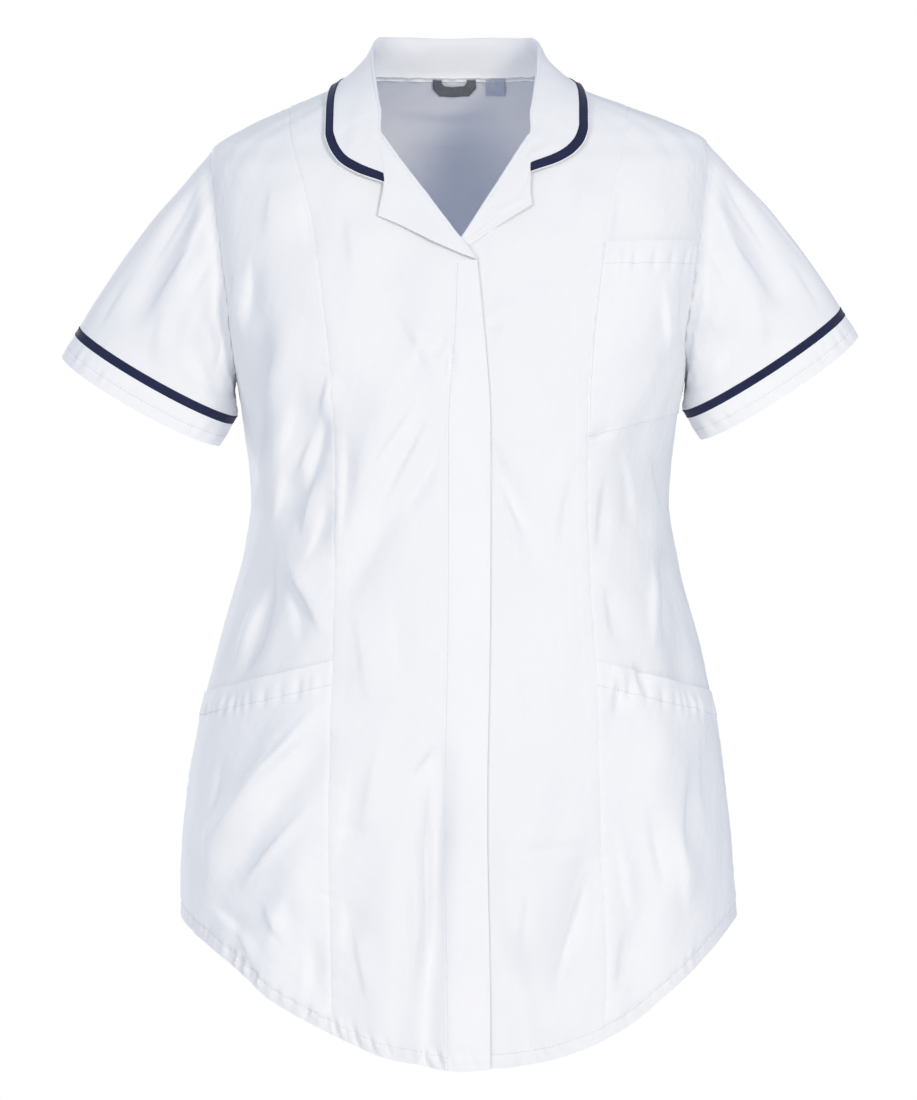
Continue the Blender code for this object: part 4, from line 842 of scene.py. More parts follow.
def mouthLift(away, along, stand, share):
    # a pocket's mouth: double cloth above its stitch line, puckers below it, and a lip that stands off
    form = mouthForm
    depth = form["stitch"]
    lift = form["double"] * (1 - smoothStep((away - depth) / form["ease"]))
    lift = lift - form["groove"][0] * bell(away - depth, form["groove"][1])
    waves = unevenWaves(along, 0.01 * along, form["pitch"]) * smoothStep(np.minimum(share, 1 - share) / 0.08)
    lift = lift + form["pucker"] * waves * bell(away - depth * 0.85, form["puckerReach"])
    return lift + stand * np.sin(math.pi * share) ** 2 * np.exp(-away / form["lipReach"])


def bodyPiece(name, angle, height, kind, node, lift, restsOn):
    # the cloth on the body, lifted along its normals
    base, out = clothOnBody(angle, height)
    clothShell(name, base + out * lift[..., None], out, kind, node, restsOn)


def panelDistances(angle, height):
    # distances from a panel's four borders along the plain body
    return borderDistances(plainBody(angle, height))


layerForm = {"patch": 0.85, "band": 0.75}  # how far what is sewn on lies above the panel's middle


def sideFront(side, name, node):
    # a grid between the front seam and the side, with seams and hem lifted on it
    angle, height = gridBetween(princessEdge(side), sideEdge(side, False), panelLines["columns"]["side"])
    height = curveHem(angle, height, 1 if side < 0 else 2)
    up, _, first, last = panelDistances(angle, height)
    x = plainBody(angle, height)[..., 0]
    lift = seamLift(first, up) + seamLift(last, up, pucker=0.6) + hemLift(up, first, x)
    bodyPiece(name, angle, height, "twill", node, lift, "yokeCloth")
    return angle, height, lift


print("side fronts")
sideGrids = {
    -1: sideFront(-1, "sideFrontRightCloth", "side_front_right"),
    1: sideFront(1, "sideFrontLeftCloth", "side_front_left"),
}


def upperFront():
    # the panel from the seam to its stitch line, the strip beyond it, and the band laid over that strip
    edge, stitch = tableCurve(panelLines["opening"], 1), tableCurve(panelLines["opening"], 2)
    openEdge = openingEdge(-1, True, edge, panelLines["upperTop"])
    toNeck = len(openEdge) - rowCounts["shoulder"]
    inner = openEdge.copy()
    inner[:toNeck, 0] = angleAt(stitch(inner[:toNeck, 1]), inner[:toNeck, 1])
    princess = princessEdge(-1)
    share = panelLines["neckShares"][0]
    inner[toNeck:] = openEdge[toNeck:] + (princess[toNeck:] - openEdge[toNeck:]) * share
    wideAngle, wideHeight = gridBetween(princess, inner, panelLines["columns"]["front"])
    bandAngle, bandHeight = gridBetween(inner, openEdge, panelLines["columns"]["band"])
    angle = np.concatenate([wideAngle, bandAngle[:, 1:]], axis=1)
    height = np.concatenate([wideHeight, bandHeight[:, 1:]], axis=1)
    height = curveHem(angle, height, 1)
    up, _, first, _ = panelDistances(angle, height)
    x = plainBody(angle, height)[..., 0]
    lift = seamLift(first, up, rises=True) + hemLift(up, first, x)
    bodyPiece("frontRightCloth", angle, height, "twill", "front_right", lift, "yokeCloth")

    # the stitched band lies on the panel: flush at its stitch line, a little proud at its own edge
    band = slice(panelLines["columns"]["front"], None)
    angle, height = angle[:toNeck, band], height[:toNeck, band]
    up, _, first, last = panelDistances(angle, height)
    x = plainBody(angle, height)[..., 0]
    rise = layerForm["band"] + 0.5 * smoothStep(first / 20)
    rise = rise - 0.45 * bell(first, 1.3) - 0.35 * bell(first - stitchForm["placket"], 0.9)
    rise = rise - 0.9 * bell(last, 0.9) + hemLift(up, first, x) * 0.8
    rise = rise + 0.10 * unevenWaves(up, 0.2 * first, 18.0) * smoothStep(first / 6)
    bodyPiece("placketCloth", angle, height, "doubled", "placket", rise, "frontRightCloth")


def lowerFront():
    # the underlap drops below the upper front's edge and comes up again by the neck
    edge, over = tableCurve(panelLines["opening"], 3), tableCurve(panelLines["opening"], 1)
    drop, fade = panelLines["underlap"]
    openEdge = openingEdge(1, False, edge, panelLines["lowerTop"])
    princess = princessEdge(1)
    toNeck = len(openEdge) - rowCounts["shoulder"]
    middle = openEdge.copy()
    middle[:toNeck, 0] = angleAt(over(middle[:toNeck, 1]) + fade, middle[:toNeck, 1])
    share = panelLines["neckShares"][1]
    middle[toNeck:] = openEdge[toNeck:] + (princess[toNeck:] - openEdge[toNeck:]) * share
    underAngle, underHeight = gridBetween(openEdge, middle, panelLines["columns"]["under"])
    wideAngle, wideHeight = gridBetween(middle, princess, panelLines["columns"]["front"])
    angle = np.concatenate([underAngle, wideAngle[:, 1:]], axis=1)
    height = np.concatenate([underHeight, wideHeight[:, 1:]], axis=1)
    height = curveHem(angle, height, 2)
    up, _, first, last = panelDistances(angle, height)
    x = plainBody(angle, height)[..., 0]
    under = 1 - smoothStep((x - over(height) - 1.0) / (fade - 1.0))
    rows = np.arange(len(height))[:, None]
    under = under * smoothStep((len(height) - 1 - rows) / rowCounts["shoulder"])
    lift = seamLift(last, up, rises=True) + hemLift(up, first, x) - drop * under
    bodyPiece("frontLeftCloth", angle, height, "twill", "front_left", lift, "yokeCloth")


print("fronts")
upperFront()
lowerFront()

pocketForm = {
    "hipStand": (2.2, 3.0),  # how far the mouths stand off, right and left
    "chestStand": 1.2,
    "sleeveClear": 3.2,  # how far the chest pocket stops short of the armhole
}


def patchPocket(name, node, angle, height, under, stand, puckerFoot, onPiece, clear=0.0):
    # part of a side front's grid, lifted off it, with a mouth above and grooves round the other edges
    up, down, first, last = panelDistances(angle, height)
    if clear:
        keep = np.argmax(last[len(last) // 2] < clear)
        angle, height, under = angle[:, :keep], height[:, :keep], under[:, :keep]
        up, down, first, last = panelDistances(angle, height)
    share = first / np.maximum(first + last, 1e-6)
    lift = layerForm["patch"] + mouthLift(down, first, stand, share) + under
    for away in (first, last):
        lift = lift - 0.45 * bell(away, 1.6) + 0.12 * unevenWaves(up, 0 * up, 13.0) * np.exp(-away / 6)
    lift = lift - 0.45 * bell(up, 1.4) + puckerFoot * unevenWaves(first, 0 * first, 12.0) * np.exp(-up / 7)
    bodyPiece(name, angle, height, "doubled", node, lift, onPiece)


def pockets():
    low, high = rowCounts["hem"], rowCounts["hem"] + rowCounts["skirt"] + 1
    for side, word, stand in zip((-1, 1), ("Right", "Left"), pocketForm["hipStand"]):
        angle, height, under = sideGrids[side]
        patchPocket(
            "hipPocket" + word + "Cloth", "hip_pocket_" + word.lower(), angle[low:high], height[low:high],
            under[low:high], stand, 0.2, "sideFront" + word + "Cloth",
        )
    angle, height, under = sideGrids[1]
    low = rowCounts["hem"] + rowCounts["skirt"] + rowCounts["waist"]
    high = low + rowCounts["chest"] + rowCounts["arm"] + 1
    patchPocket(
        "chestPocketCloth", "chest_pocket", angle[low:high], height[low:high], under[low:high],
        pocketForm["chestStand"], 0.15, "sideFrontLeftCloth", pocketForm["sleeveClear"],
    )


print("pockets")
pockets()


def neckBehind(turn):
    # the height of the neck seam behind: a power of the sine, from the shoulder seam to centre back
    return panelLines["neckBack"] * np.sin(np.radians(turn - 90)) ** panelLines["neckRound"]


def backPanels():
    # rows straight from side to side, the upper ones bent towards the yoke seam as a squared sine
    left, right = sideEdge(1, True), sideEdge(-1, True)
    right = np.stack([right[:, 0] + 360, right[:, 1]], axis=1)
    columns = panelLines["columns"]["back"]
    yokeSteps = int(rowCounts["shoulder"] * panelLines["yokeShare"])
    last = len(left) - yokeSteps
    share = np.linspace(0, 1, columns + 1)
    angle = left[:last, :1] + (right[:last, :1] - left[:last, :1]) * share
    height = left[:last, 1:] + (right[:last, 1:] - left[:last, 1:]) * share
    height = curveHem(angle, height, 3)
    seamRise = (panelLines["yokeCentre"] - height[-1, columns // 2]) * np.sin(np.pi * share) ** 2
    bent = rowCounts["arm"] + rowCounts["shoulder"] - yokeSteps
    steps = np.arange(bent)
    height[last - 1 - steps] += seamRise[None, :] * (1 - steps / bent)[:, None]
    up, down, first, far = panelDistances(angle, height)
    x = plainBody(angle, height)[..., 0]
    lift = seamLift(first, up, pucker=0.6) + seamLift(far, up, pucker=0.6) + seamLift(down, first)
    lift = lift + hemLift(up, first, np.abs(x)) * 0.8
    bodyPiece("backCloth", angle, height, "twill", "back", lift, "yokeCloth")

    # the yoke: from that seam to the shoulders and the neck, its ends bent to the armholes
    seam = np.stack([angle[-1], height[-1]], axis=1)
    shoulderCells = columns * 6 // 22
    neckCells = columns - 2 * shoulderCells
    ridge = np.linspace(halfWidth(panelLines["shoulder"]), panelLines["neckSide"], shoulderCells + 1)
    ridgeZ = np.array([ridgeHeight(x) for x in ridge])
    ridgeZ[0] = panelLines["shoulder"]
    neckTurn = np.linspace(90, 270, neckCells + 1)[1:-1]
    neckZ = neckBehind(neckTurn)
    topAngle = np.concatenate([np.full(shoulderCells + 1, 90), neckTurn, np.full(shoulderCells + 1, 270)])
    topHeight = np.concatenate([ridgeZ, neckZ, ridgeZ[::-1]])
    rise = np.linspace(0, 1, yokeSteps + 1)[:, None]
    crowd = smoothStep(np.minimum(share, 1 - share) / 0.25)
    rise = rise + (1 - (1 - rise) ** 1.7 - rise) * crowd
    angle = seam[:, 0] + (topAngle - seam[:, 0]) * rise
    height = seam[:, 1] + (topHeight - seam[:, 1]) * rise
    steps = np.linspace(0, 1, yokeSteps + 1)[:, None]
    for edge, away in ((left, share), (right, 1 - share)):
        ring = edge[last - 1 :]
        bulge = ring - ring[0] - (ring[-1] - ring[0]) * steps
        follow = smoothStep(1 - away / 0.3)
        angle += bulge[:, :1] * follow
        height += bulge[:, 1:] * follow
    up, down, first, _ = panelDistances(angle, height)
    lift = seamLift(up, first, rises=True) + seamLift(down, first) * 0.4
    bodyPiece("yokeCloth", angle, height, "twill", "back_yoke", lift, "neck_label")


print("back and yoke")
backPanels()

sleeveForm = {
    # x and height of the outer and the inner edge where the tape begins
    "outer": (318.5, -202.0),
    "inner": (187.5, -282.5),
    "depth": 43.0,  # half, from front to back
    "dips": (8.0, 9.0),  # how far the front dips and the back rises, at the tape and at the hem
    "tape": 7.5,
    "cuff": 21.0,
    # grid cells along the sleeve, and grid lines along the tape and the cuff
    "rows": 56,
    "tapeLines": 9,
    "cuffLines": 19,
    # mm round the sleeve for each degree, and its usual length, for folds and grain
    "degree": 1.15,
    "length": 150,
    "strength": (1.25, 1.5),  # times the rises of folds and of creases
    "grain": (0.25, 40.0),
    "pinch": (2.4, 7, 6),  # a hollow in front of the armhole: depth, distance from the seam, width
    # turn from the top in degrees, share of the length, to turn, share, half width, rise at each end
    "folds": [
        (28, 0.02, 62, 0.85, 13, -3.0, -5.0), (62, 0.15, 86, 0.95, 14, 3.0, 3.0),
        (112, 0.20, 118, 0.80, 13, -3.5, -3.0), (148, 0.10, 140, 0.90, 12, 3.0, 2.0),
        (-40, 0.05, -70, 0.90, 14, -3.0, -4.5), (-105, 0.20, -112, 0.85, 14, -3.0, -3.0),
    ],
    "creases": [
        (20, 0.02, 44, 0.60, 5, -1.6, -1.2), (40, 0.0, 70, 0.45, 5, 1.6, 1.0),
        (52, 0.10, 66, 0.80, 5, -1.8, -1.2), (78, 0.02, 84, 0.45, 5, -1.5, -1.0),
        (92, 0.25, 100, 0.85, 6, 1.4, 1.2), (104, 0.05, 112, 0.60, 5, 1.3, 1.4),
        (124, 0.05, 128, 0.60, 5, -1.9, -1.6), (136, 0.10, 132, 0.75, 6, 1.4, 1.2),
        (152, 0.05, 146, 0.70, 6, -1.5, -1.2), (6, 0.15, 18, 0.95, 7, 1.1, 1.0),
        (-24, 0.02, -48, 0.60, 6, -1.3, -1.1), (-52, 0.1, -72, 0.8, 6, 1.4, 1.2),
        (-88, 0.05, -96, 0.7, 6, -1.4, -1.3), (-122, 0.1, -126, 0.7, 6, -1.3, -1.2),
        (-140, 0.1, -136, 0.8, 6, 1.3, 1.2), (70, 0.55, 88, 0.98, 5, -1.1, -0.9),
        (30, 0.6, 40, 0.98, 6, -1.0, -0.9),
    ],
}


def sleeveRing(side, turns, beyond, dip):
    # an ellipse through the outer and the inner edge, moved along the sleeve, whose front dips as a
    # sine and whose back rises
    outer, inner = np.array(sleeveForm["outer"]), np.array(sleeveForm["inner"])
    centre, half = (outer + inner) / 2, (outer - inner) / 2
    along = np.array([half[1], -half[0]]) / np.linalg.norm(half)
    turn = np.radians(turns)
    flat = centre + along * (beyond + dip * np.sin(turn))[:, None] + np.cos(turn)[:, None] * half
    return np.stack([side * flat[:, 0], -sleeveForm["depth"] * np.sin(turn), flat[:, 1]], axis=1)


def tubeNormals(grid):
    # the cross product of the two ways of a closed grid, turned away from its middle
    closed = np.concatenate([grid[:, -2:-1], grid, grid[:, 1:2]], axis=1)
    roundIt = closed[:, 2:] - closed[:, :-2]
    found = unit(np.cross(roundIt, np.gradient(grid, axis=0)))
    away = grid - grid.mean(axis=1, keepdims=True)
    return found if (found * away).sum() > 0 else -found


def sleeveTurns(side):
    # the armhole's own line, and its length spread over a full turn that starts under the arm
    behind = armholeSteps(side, True)
    front = armholeSteps(side, False)[::-1]
    ring = np.concatenate([behind, front[1:]])
    length = arcLengths(plainBody(ring[:, 0], ring[:, 1]), 0)
    top = len(behind) - 1
    rising = 180 + 180 * length[: top + 1] / length[top]
    falling = 180 * (length[top + 1 :] - length[top]) / (length[-1] - length[top])
    return ring, np.concatenate([rising, falling])


def sleeveFolds(turns, t, kind, taper, lean=1.0):
    # the folds of a table whose turns and shares are made into mm round and along the sleeve
    degree, length = sleeveForm["degree"], sleeveForm["length"]
    around, along = ((turns + 180) % 360 - 180)[None, :] * degree, t * length
    rows = sleeveForm[kind]
    table = [(a * degree, b * length, c * degree, d * length, *rest) for a, b, c, d, *rest in rows]
    return foldRise(around + 0 * along, along + 0 * around, table, taper, lean)


def sleevePieces(side, word):
    form = sleeveForm
    name, node = "sleeve" + word, word.lower()
    ring, turns = sleeveTurns(side)
    start, bodyOut = clothOnBody(ring[:, 0], ring[:, 1])
    dip, hemDip = form["dips"]
    end = sleeveRing(side, turns, 0.0, dip)
    turn = np.radians(turns)
    over, under = np.clip(np.cos(turn), 0, 1), np.clip(-np.cos(turn), 0, 1)
    ahead = np.sin(turn)
    # the ways in which the cloth leaves the armhole and reaches the tape, over and under the arm
    leaveX, leaveZ = 0.62 + 0.02 * over - 0.30 * under, -0.80 + 0.10 * over - 0.10 * under
    leave = np.stack([side * leaveX, -0.16 * ahead, leaveZ], axis=1)
    arrive = np.stack([side * (0.50 - 0.42 * under), 0 * ahead, -0.86 - 0.1 * under], axis=1)
    reach = np.linalg.norm(end - start, axis=1, keepdims=True)
    leave = unit(leave) * reach * (1.0 + 0.35 * under[:, None])
    arrive = unit(arrive) * reach
    start = start - bodyOut * 0.5
    # each line along the sleeve is a cubic with those two ways at its ends
    t = np.linspace(0, 1, form["rows"] + 1)[:, None, None]
    grid = (2 * t**3 - 3 * t**2 + 1) * start + (t**3 - 2 * t**2 + t) * leave
    grid = grid + (3 * t**2 - 2 * t**3) * end + (t**3 - t**2) * arrive
    out = tubeNormals(grid)
    share = t[:, :, 0]
    clear = smoothStep(share / 0.2) * smoothStep((1 - share) / 0.15)
    big, small = form["strength"]
    rise = big * sleeveFolds(turns, share, "folds", bigFolds["taper"]) * clear
    rise = rise + small * sleeveFolds(turns, share, "creases", creases["taper"], creases["lean"])
    size, spacing = form["grain"]
    around = ((turns + 180) % 360 - 180)[None, :] * form["degree"]
    rise = rise + size * unevenWaves(around, share * form["length"] * 0.6, spacing) * clear
    up, down, first, _ = borderDistances(grid)
    depth, place, width = form["pinch"]
    rise = rise - depth * bell(up - place, width) * np.clip(ahead, 0, 1) ** 0.5
    rise = rise + seamLift(up, first, rises=True, pucker=1.6)
    rise = rise + 0.16 * unevenWaves(first, 0 * first, 13.0) * np.exp(-down / 6)
    middle = grid + out * rise[..., None]
    clothShell(name + "Cloth", middle, tubeNormals(middle), "twill", "sleeve_" + node, "yokeCloth")

    # the tape: a little swollen between its edges
    edges = np.linspace(0, form["tape"], form["tapeLines"])
    tape = np.stack([sleeveRing(side, turns, b, dip) for b in edges])
    out = tubeNormals(tape)
    up, down, first, _ = borderDistances(tape)
    swell = 0.35 - 0.3 * bell(np.minimum(up, down), 0.5) + 0.07 * unevenWaves(first, 0 * first, 13.0)
    tape = tape + out * swell[..., None]
    clothShell(name + "Tape", tape, out, "braid", "sleeve_tape_" + node, name + "Cloth", 0.7)

    # the cuff: a groove at its stitch line, puckers about it and a slow wave along the hem
    edges = np.linspace(form["tape"], form["tape"] + form["cuff"], form["cuffLines"])
    dips = np.linspace(dip, hemDip, form["cuffLines"])
    cuff = np.stack([sleeveRing(side, turns, b, d) for b, d in zip(edges, dips)])
    out = tubeNormals(cuff)
    up, down, first, _ = borderDistances(cuff)
    stitched = down - stitchForm["cuff"]
    rise = 0.30 * bell(up, 1.4) - 0.4 * bell(stitched, 1.1)
    rise = rise + (0.12 + 0.3 * bell(stitched, 5.0)) * unevenWaves(first, 0.2 * up, 12.0)
    rise = rise + 0.5 * unevenWaves(first, 0 * up, 60.0) * smoothStep(up / 12)
    cuff = cuff + out * rise[..., None]
    clothShell(name + "Cuff", cuff, out, "cuff", "cuff_" + node, name + "Tape", 0.9)


print("sleeves")
sleevePieces(-1, "Right")
sleevePieces(1, "Left")

neckForm = {
    # share of the neck seam from centre back, crest x, y, z, edge x, y, z
    "collar": [
        (0.00, 0, 58, 37.5, 0, 86, -15), (0.18, 36, 54, 37.5, 45, 79, -15), (0.36, 63, 36, 36, 83, 57, -14),
        (0.50, 70.5, 11, 26, 92, 16, -9), (0.62, 69.5, -21, 9, 104, -19, -17),
        (0.75, 66.5, -47, -14, 108, -50, -38), (0.84, 63.5, -61, -30, 108.5, -64, -54),
        (0.88, 62, -66, -37, 105.5, -70, -65), (0.92, 60.5, -70, -44, 97.5, -77, -76.5),
        (0.96, 59.5, -75, -51, 82, -84, -86), (1.00, 59, -80, -57, 60, -88, -94),
    ],
    # share of the neck seam, and grid cells from there to the next
    "cells": [(0.0, 34), (0.5, 22), (0.84, 34), (1.0, 0)],
    "gorge": -60.0,  # height of the seam between collar and lapel
    "drop": 5.0,  # how much lower the collar's end lies on the wearer's left
    "tape": (0.9, 8.8),  # its two edges, in from the collar's own
    "roll": (1.1, 0.14),  # radius at the crest, and its greatest share of a narrow strip
    "lifts": (3.0, 2.4, 0.8),  # edge and fall above the body, and the ease of that
    "heart": 1.2,  # least distance from the body to the roll
    "bodyTop": 12.0,
    "seamTuck": (2.2, 1.5),  # how far the seam lies down and in
    "underlap": (4.2, 0.52, 0.3),  # how far the lower lapel's end goes down, from what share, over what share
    # below the gorge: fold x, height, edge x, height
    "upperLapel": [
        (-46.0, -80.0, -63.0, -111.0), (-32.0, -100.0, -66.5, -125.5), (-19.0, -119.0, -46.5, -134.5),
        (-5.0, -139.0, -20.0, -148.5), (7.2, -154.4, 2.4, -158.3), (13.4, -161.3, 12.6, -162.1),
    ],
    "lowerLapel": [
        (46.0, -80.0, 59.0, -105.0), (33.6, -98.5, 59.5, -116.8), (19.0, -119.0, 36.0, -131.0),
        (5.0, -139.0, 13.7, -144.8), (-5.5, -153.5, -3.0, -155.0),
    ],
    "lapelCells": 12,  # from one of those points to the next
    "rows": (9, 13, 22),  # grid cells of the stand, points of the roll, cells of the fall
    # distance from centre back and up from the seam, to the same, half width, rise at each end
    "creases": [
        (-52, 32, -27, 3, 4, -1.0, -0.7), (-40, 34, -18, 8, 3, 0.7, 0.5), (34, 33, 24, 6, 5, -0.6, -0.5),
        (-8, 30, -20, 12, 5, -0.5, -0.4), (58, 30, 66, 6, 5, 0.6, 0.5), (-72, 28, -70, 6, 5, -0.7, -0.5),
        (-96, 44, -118, 70, 5, -0.8, -0.6), (92, 46, 110, 74, 5, -0.8, -0.6), (-60, 50, -76, 78, 6, 0.7, 0.5),
        (46, 52, 54, 82, 6, 0.7, 0.5),
    ],
}


def outsideOfBody(points):
    # roughly how far points lie outside the plain body, from its level norm over that norm's slope
    def reach(at):
        x, y, z = at[..., 0], at[..., 1], at[..., 2]
        depth = np.where(y < 0, frontDepth(z), backDepth(z))
        power = squareness(z)
        return (np.abs(x / halfWidth(z)) ** power + np.abs(y / depth) ** power) ** (1 / power) - 1

    step = 0.25
    slopes = [(reach(points + step * axis) - reach(points - step * axis)) / (2 * step) for axis in np.eye(3)]
    slope = np.stack(slopes, axis=-1)
    steep = np.linalg.norm(slope, axis=-1)
    return reach(points) / steep, slope / steep[..., None]


def movedTo(points, wanted):
    # points moved along the body's slope, four times over, to a wanted distance from it
    for _ in range(4):
        away, out = outsideOfBody(points)
        points = points + out * (wanted - away)[..., None]
    return points


def keptOutside(points, lowest, ease):
    # points nearer the body than the lowest distance are moved out to it, with a soft change
    away = outsideOfBody(points)[0]
    moved = movedTo(points, lowest + ease * np.logaddexp(0, (away - lowest) / ease))
    near = (away < lowest + 6 * ease) & (points[..., 2] < neckForm["bodyTop"])
    return np.where(near[..., None], moved, points)


def bezier(a, b, c, d, t):
    # a cubic curve from a to d that leaves towards b and arrives from c
    t = t[:, None, None]
    return (1 - t) ** 3 * a + 3 * (1 - t) ** 2 * t * b + 3 * (1 - t) * t**2 * c + t**3 * d


def rolledStrip(seam, crest, edge, roll, drop):
    # up from the seam, round a half circle at the crest, and down a curve to the edge
    standRows, rollRows, fallRows = neckForm["rows"]
    _, fallLift, ease = neckForm["lifts"]
    along = unit(np.gradient(crest, axis=0))
    edgeOut = outsideOfBody(edge)[1]
    outward = edge - seam
    outward = unit(outward - (outward * along).sum(1, keepdims=True) * along)
    up = np.cross(along, outward)
    up *= np.sign((up * edgeOut).sum(1, keepdims=True))
    heart = keptOutside(crest - up * roll, neckForm["heart"] - drop + roll[:, 0], 0.1)
    inside, outside = heart - outward * roll, heart + outward * roll
    rise = np.linalg.norm(inside - seam, axis=1, keepdims=True)
    t = np.linspace(0, 1, standRows + 1)[:-1]
    stand = bezier(seam, seam + up * rise * 0.3, inside - up * rise * 0.3, inside, t)
    turns = np.radians(np.linspace(180, 0, rollRows))[:, None, None]
    turn = heart + np.cos(turns) * outward * roll + np.sin(turns) * up * roll
    reach = np.linalg.norm(edge - outside, axis=1, keepdims=True)
    landing = edge - outside
    landing = unit(landing - (landing * edgeOut).sum(1, keepdims=True) * edgeOut)
    t = np.linspace(0, 1, fallRows + 1)[1:]
    first = outside + outward * reach * 0.16 + edgeOut * reach * 0.10 - up * reach * 0.12
    second = edge - landing * reach * 0.38 + edgeOut * reach * 0.045
    fall = keptOutside(bezier(outside, first, second, edge, t), fallLift - drop, ease)
    return np.concatenate([stand, turn, fall])


def neckHalf(side, lapelTable):
    # one side of collar and lapel: the seam on the neck, the crest and the edge, read from the tables
    spans = zip(neckForm["cells"], neckForm["cells"][1:])
    places = np.concatenate([np.linspace(p[0], q[0], p[1], endpoint=False) for p, q in spans] + [[1.0]])
    turn = np.linspace(180, 90, 400)
    behind = np.stack([turn, neckBehind(turn)], axis=1)
    height = neckForm["gorge"] * np.linspace(0, 1, 800)[1:] ** 2
    distance = tableCurve(panelLines["neck"], 1)
    path = np.concatenate([behind, np.stack([angleAt(distance(height), height), height], axis=1)])
    length = arcLengths(plainBody(path[:, 0], path[:, 1]), 0)
    seam = np.stack([np.interp(places * length[-1], length, path[:, i]) for i in (0, 1)], axis=1)
    read = [tableCurve(neckForm["collar"], i)(places) for i in range(1, 7)]
    crest = np.stack([side * read[0], read[1], read[2]], axis=1)
    drop = side * neckForm["drop"] * smoothStep((places - 0.6) / 0.35)
    edge = np.stack([side * read[3], read[4], read[5] + drop], axis=1)
    gorgeX = plainBody(side * seam[-1, 0], seam[-1, 1])[0]
    stations = np.array([(gorgeX, seam[-1, 1], edge[-1, 0], edge[-1, 2]), *lapelTable])
    steps = np.linspace(0, 1, neckForm["lapelCells"] * (len(stations) - 1) + 1)[1:]
    marks = np.linspace(0, 1, len(stations))
    foldX, foldZ, edgeX, edgeZ = [np.interp(steps, marks, stations[:, i]) for i in range(4)]
    own = np.stack([angleAt(foldX, foldZ), foldZ], axis=1)
    seam = np.concatenate([seam * (side, 1), own])
    edgeLift = neckForm["lifts"][0]
    drop = np.zeros(len(seam))
    edge = movedTo(np.concatenate([edge, plainBody(angleAt(edgeX, edgeZ), edgeZ)]), edgeLift + drop)
    if side > 0:
        # the lower lapel's end goes down under the upper front
        depth, begin, span = neckForm["underlap"]
        drop[len(places) :] = depth * smoothStep((steps - begin) / span)
        edge = movedTo(edge, edgeLift - drop)
    lower, inward = neckForm["seamTuck"]
    onCollar = 1 - smoothStep((np.arange(len(seam)) - len(places) + 8) / 8)
    seamOut = surfaceNormals(plainBody, seam[:, 0], seam[:, 1])
    seam = clothOnBody(seam[:, 0], seam[:, 1] - lower * onCollar)[0]
    seam = seam - seamOut * (inward * onCollar + 0.4 * drop)[:, None]
    narrow = np.linalg.norm(edge - seam, axis=1, keepdims=True)
    size, share = neckForm["roll"]
    roll = np.minimum(size, narrow * share)
    heart = np.maximum(roll + 0.2, neckForm["heart"])
    folded = seam + seamOut * (heart + roll) - unit(edge - seam) * 0.4
    mix = np.concatenate([smoothStep((places - 0.85) / 0.15), np.ones(len(own))])[:, None]
    crest = np.concatenate([crest, folded[len(places) :]])
    crest = crest + (folded - crest) * mix
    return seam, crest, edge, roll, drop


def stripNormals(grid):
    # the cross product of the grid's two ways
    return unit(np.cross(np.gradient(grid, axis=1), np.gradient(grid, axis=0)))


def neckline():
    # both halves as one strip, waved and creased, and cut at the two gorge seams
    right, left = neckHalf(-1, neckForm["upperLapel"]), neckHalf(1, neckForm["lowerLapel"])
    joined = [np.concatenate([r[::-1], l[1:]]) for r, l in zip(right, left)]
    grid = rolledStrip(*joined)
    centre = len(right[0]) - 1
    out = stripNormals(grid)
    out = out * np.sign(out[-1, centre, 2])
    first = neckForm["lapelCells"] * len(neckForm["upperLapel"])
    last = grid.shape[1] - 1 - neckForm["lapelCells"] * len(neckForm["lowerLapel"])
    up, across = arcLengths(grid, 0), arcLengths(grid, 1)
    down = up[-1:] - up
    waves = 0.22 * unevenWaves(across * 0.6, up, 34.0) * smoothStep(up / 8)
    waves = waves + 0.05 * unevenWaves(across, up, 11.0)
    aside = across - across[:, centre : centre + 1]
    waves = waves + foldRise(aside, up, neckForm["creases"], creases["taper"])
    rise = waves - 0.35 * bell(up, 1.6) - 0.15 * bell(down - 1.0, 0.8)
    middle = grid + out * rise[..., None]
    out = stripNormals(middle)
    out = out * np.sign(out[-1, centre, 2])
    parts = (
        ("lapelRightCloth", slice(0, first + 1), "lapel_right", "frontRightCloth"),
        ("collarCloth", slice(first, last + 1), "collar", "yokeCloth"),
        ("lapelLeftCloth", slice(last, None), "lapel_left", "frontLeftCloth"),
    )
    for name, cut, node, on in parts:
        clothShell(name, middle[:, cut], out[:, cut], "twill", node, on, 0.8)
    low, high = neckForm["tape"]
    collar, facing = middle[:, first : last + 1], out[:, first : last + 1]
    lines = [insetLine(collar, facing, "top", d) for d in np.linspace(high, low, 9)]
    tape = np.stack([line for line, _ in lines])
    facing = np.stack([way for _, way in lines])
    up, across = arcLengths(tape, 0), arcLengths(tape, 1)
    narrow = np.minimum(up, up[-1:] - up)
    swell = 0.55 - 0.25 * bell(narrow, 0.6) + 0.05 * unevenWaves(across, 0 * up, 14.0)
    tape = tape + facing * swell[..., None]
    clothShell("collarTape", tape, facing, "braid", "collar_tape", "collarCloth", 0.5)


print("collar and lapels")
neckline()

insideForm = {
    # width, how far down it reaches, width of its tape, and of the corners cut off it
    "loop": (37.0, 12.5, 7.6, 6.0),
    "innerCorner": 2.5,
    "label": (27.0, 43.0, 12.0),  # x of its two sides, and how far down it reaches
    "gap": 0.75,
    "belowNeck": 1.2,
}


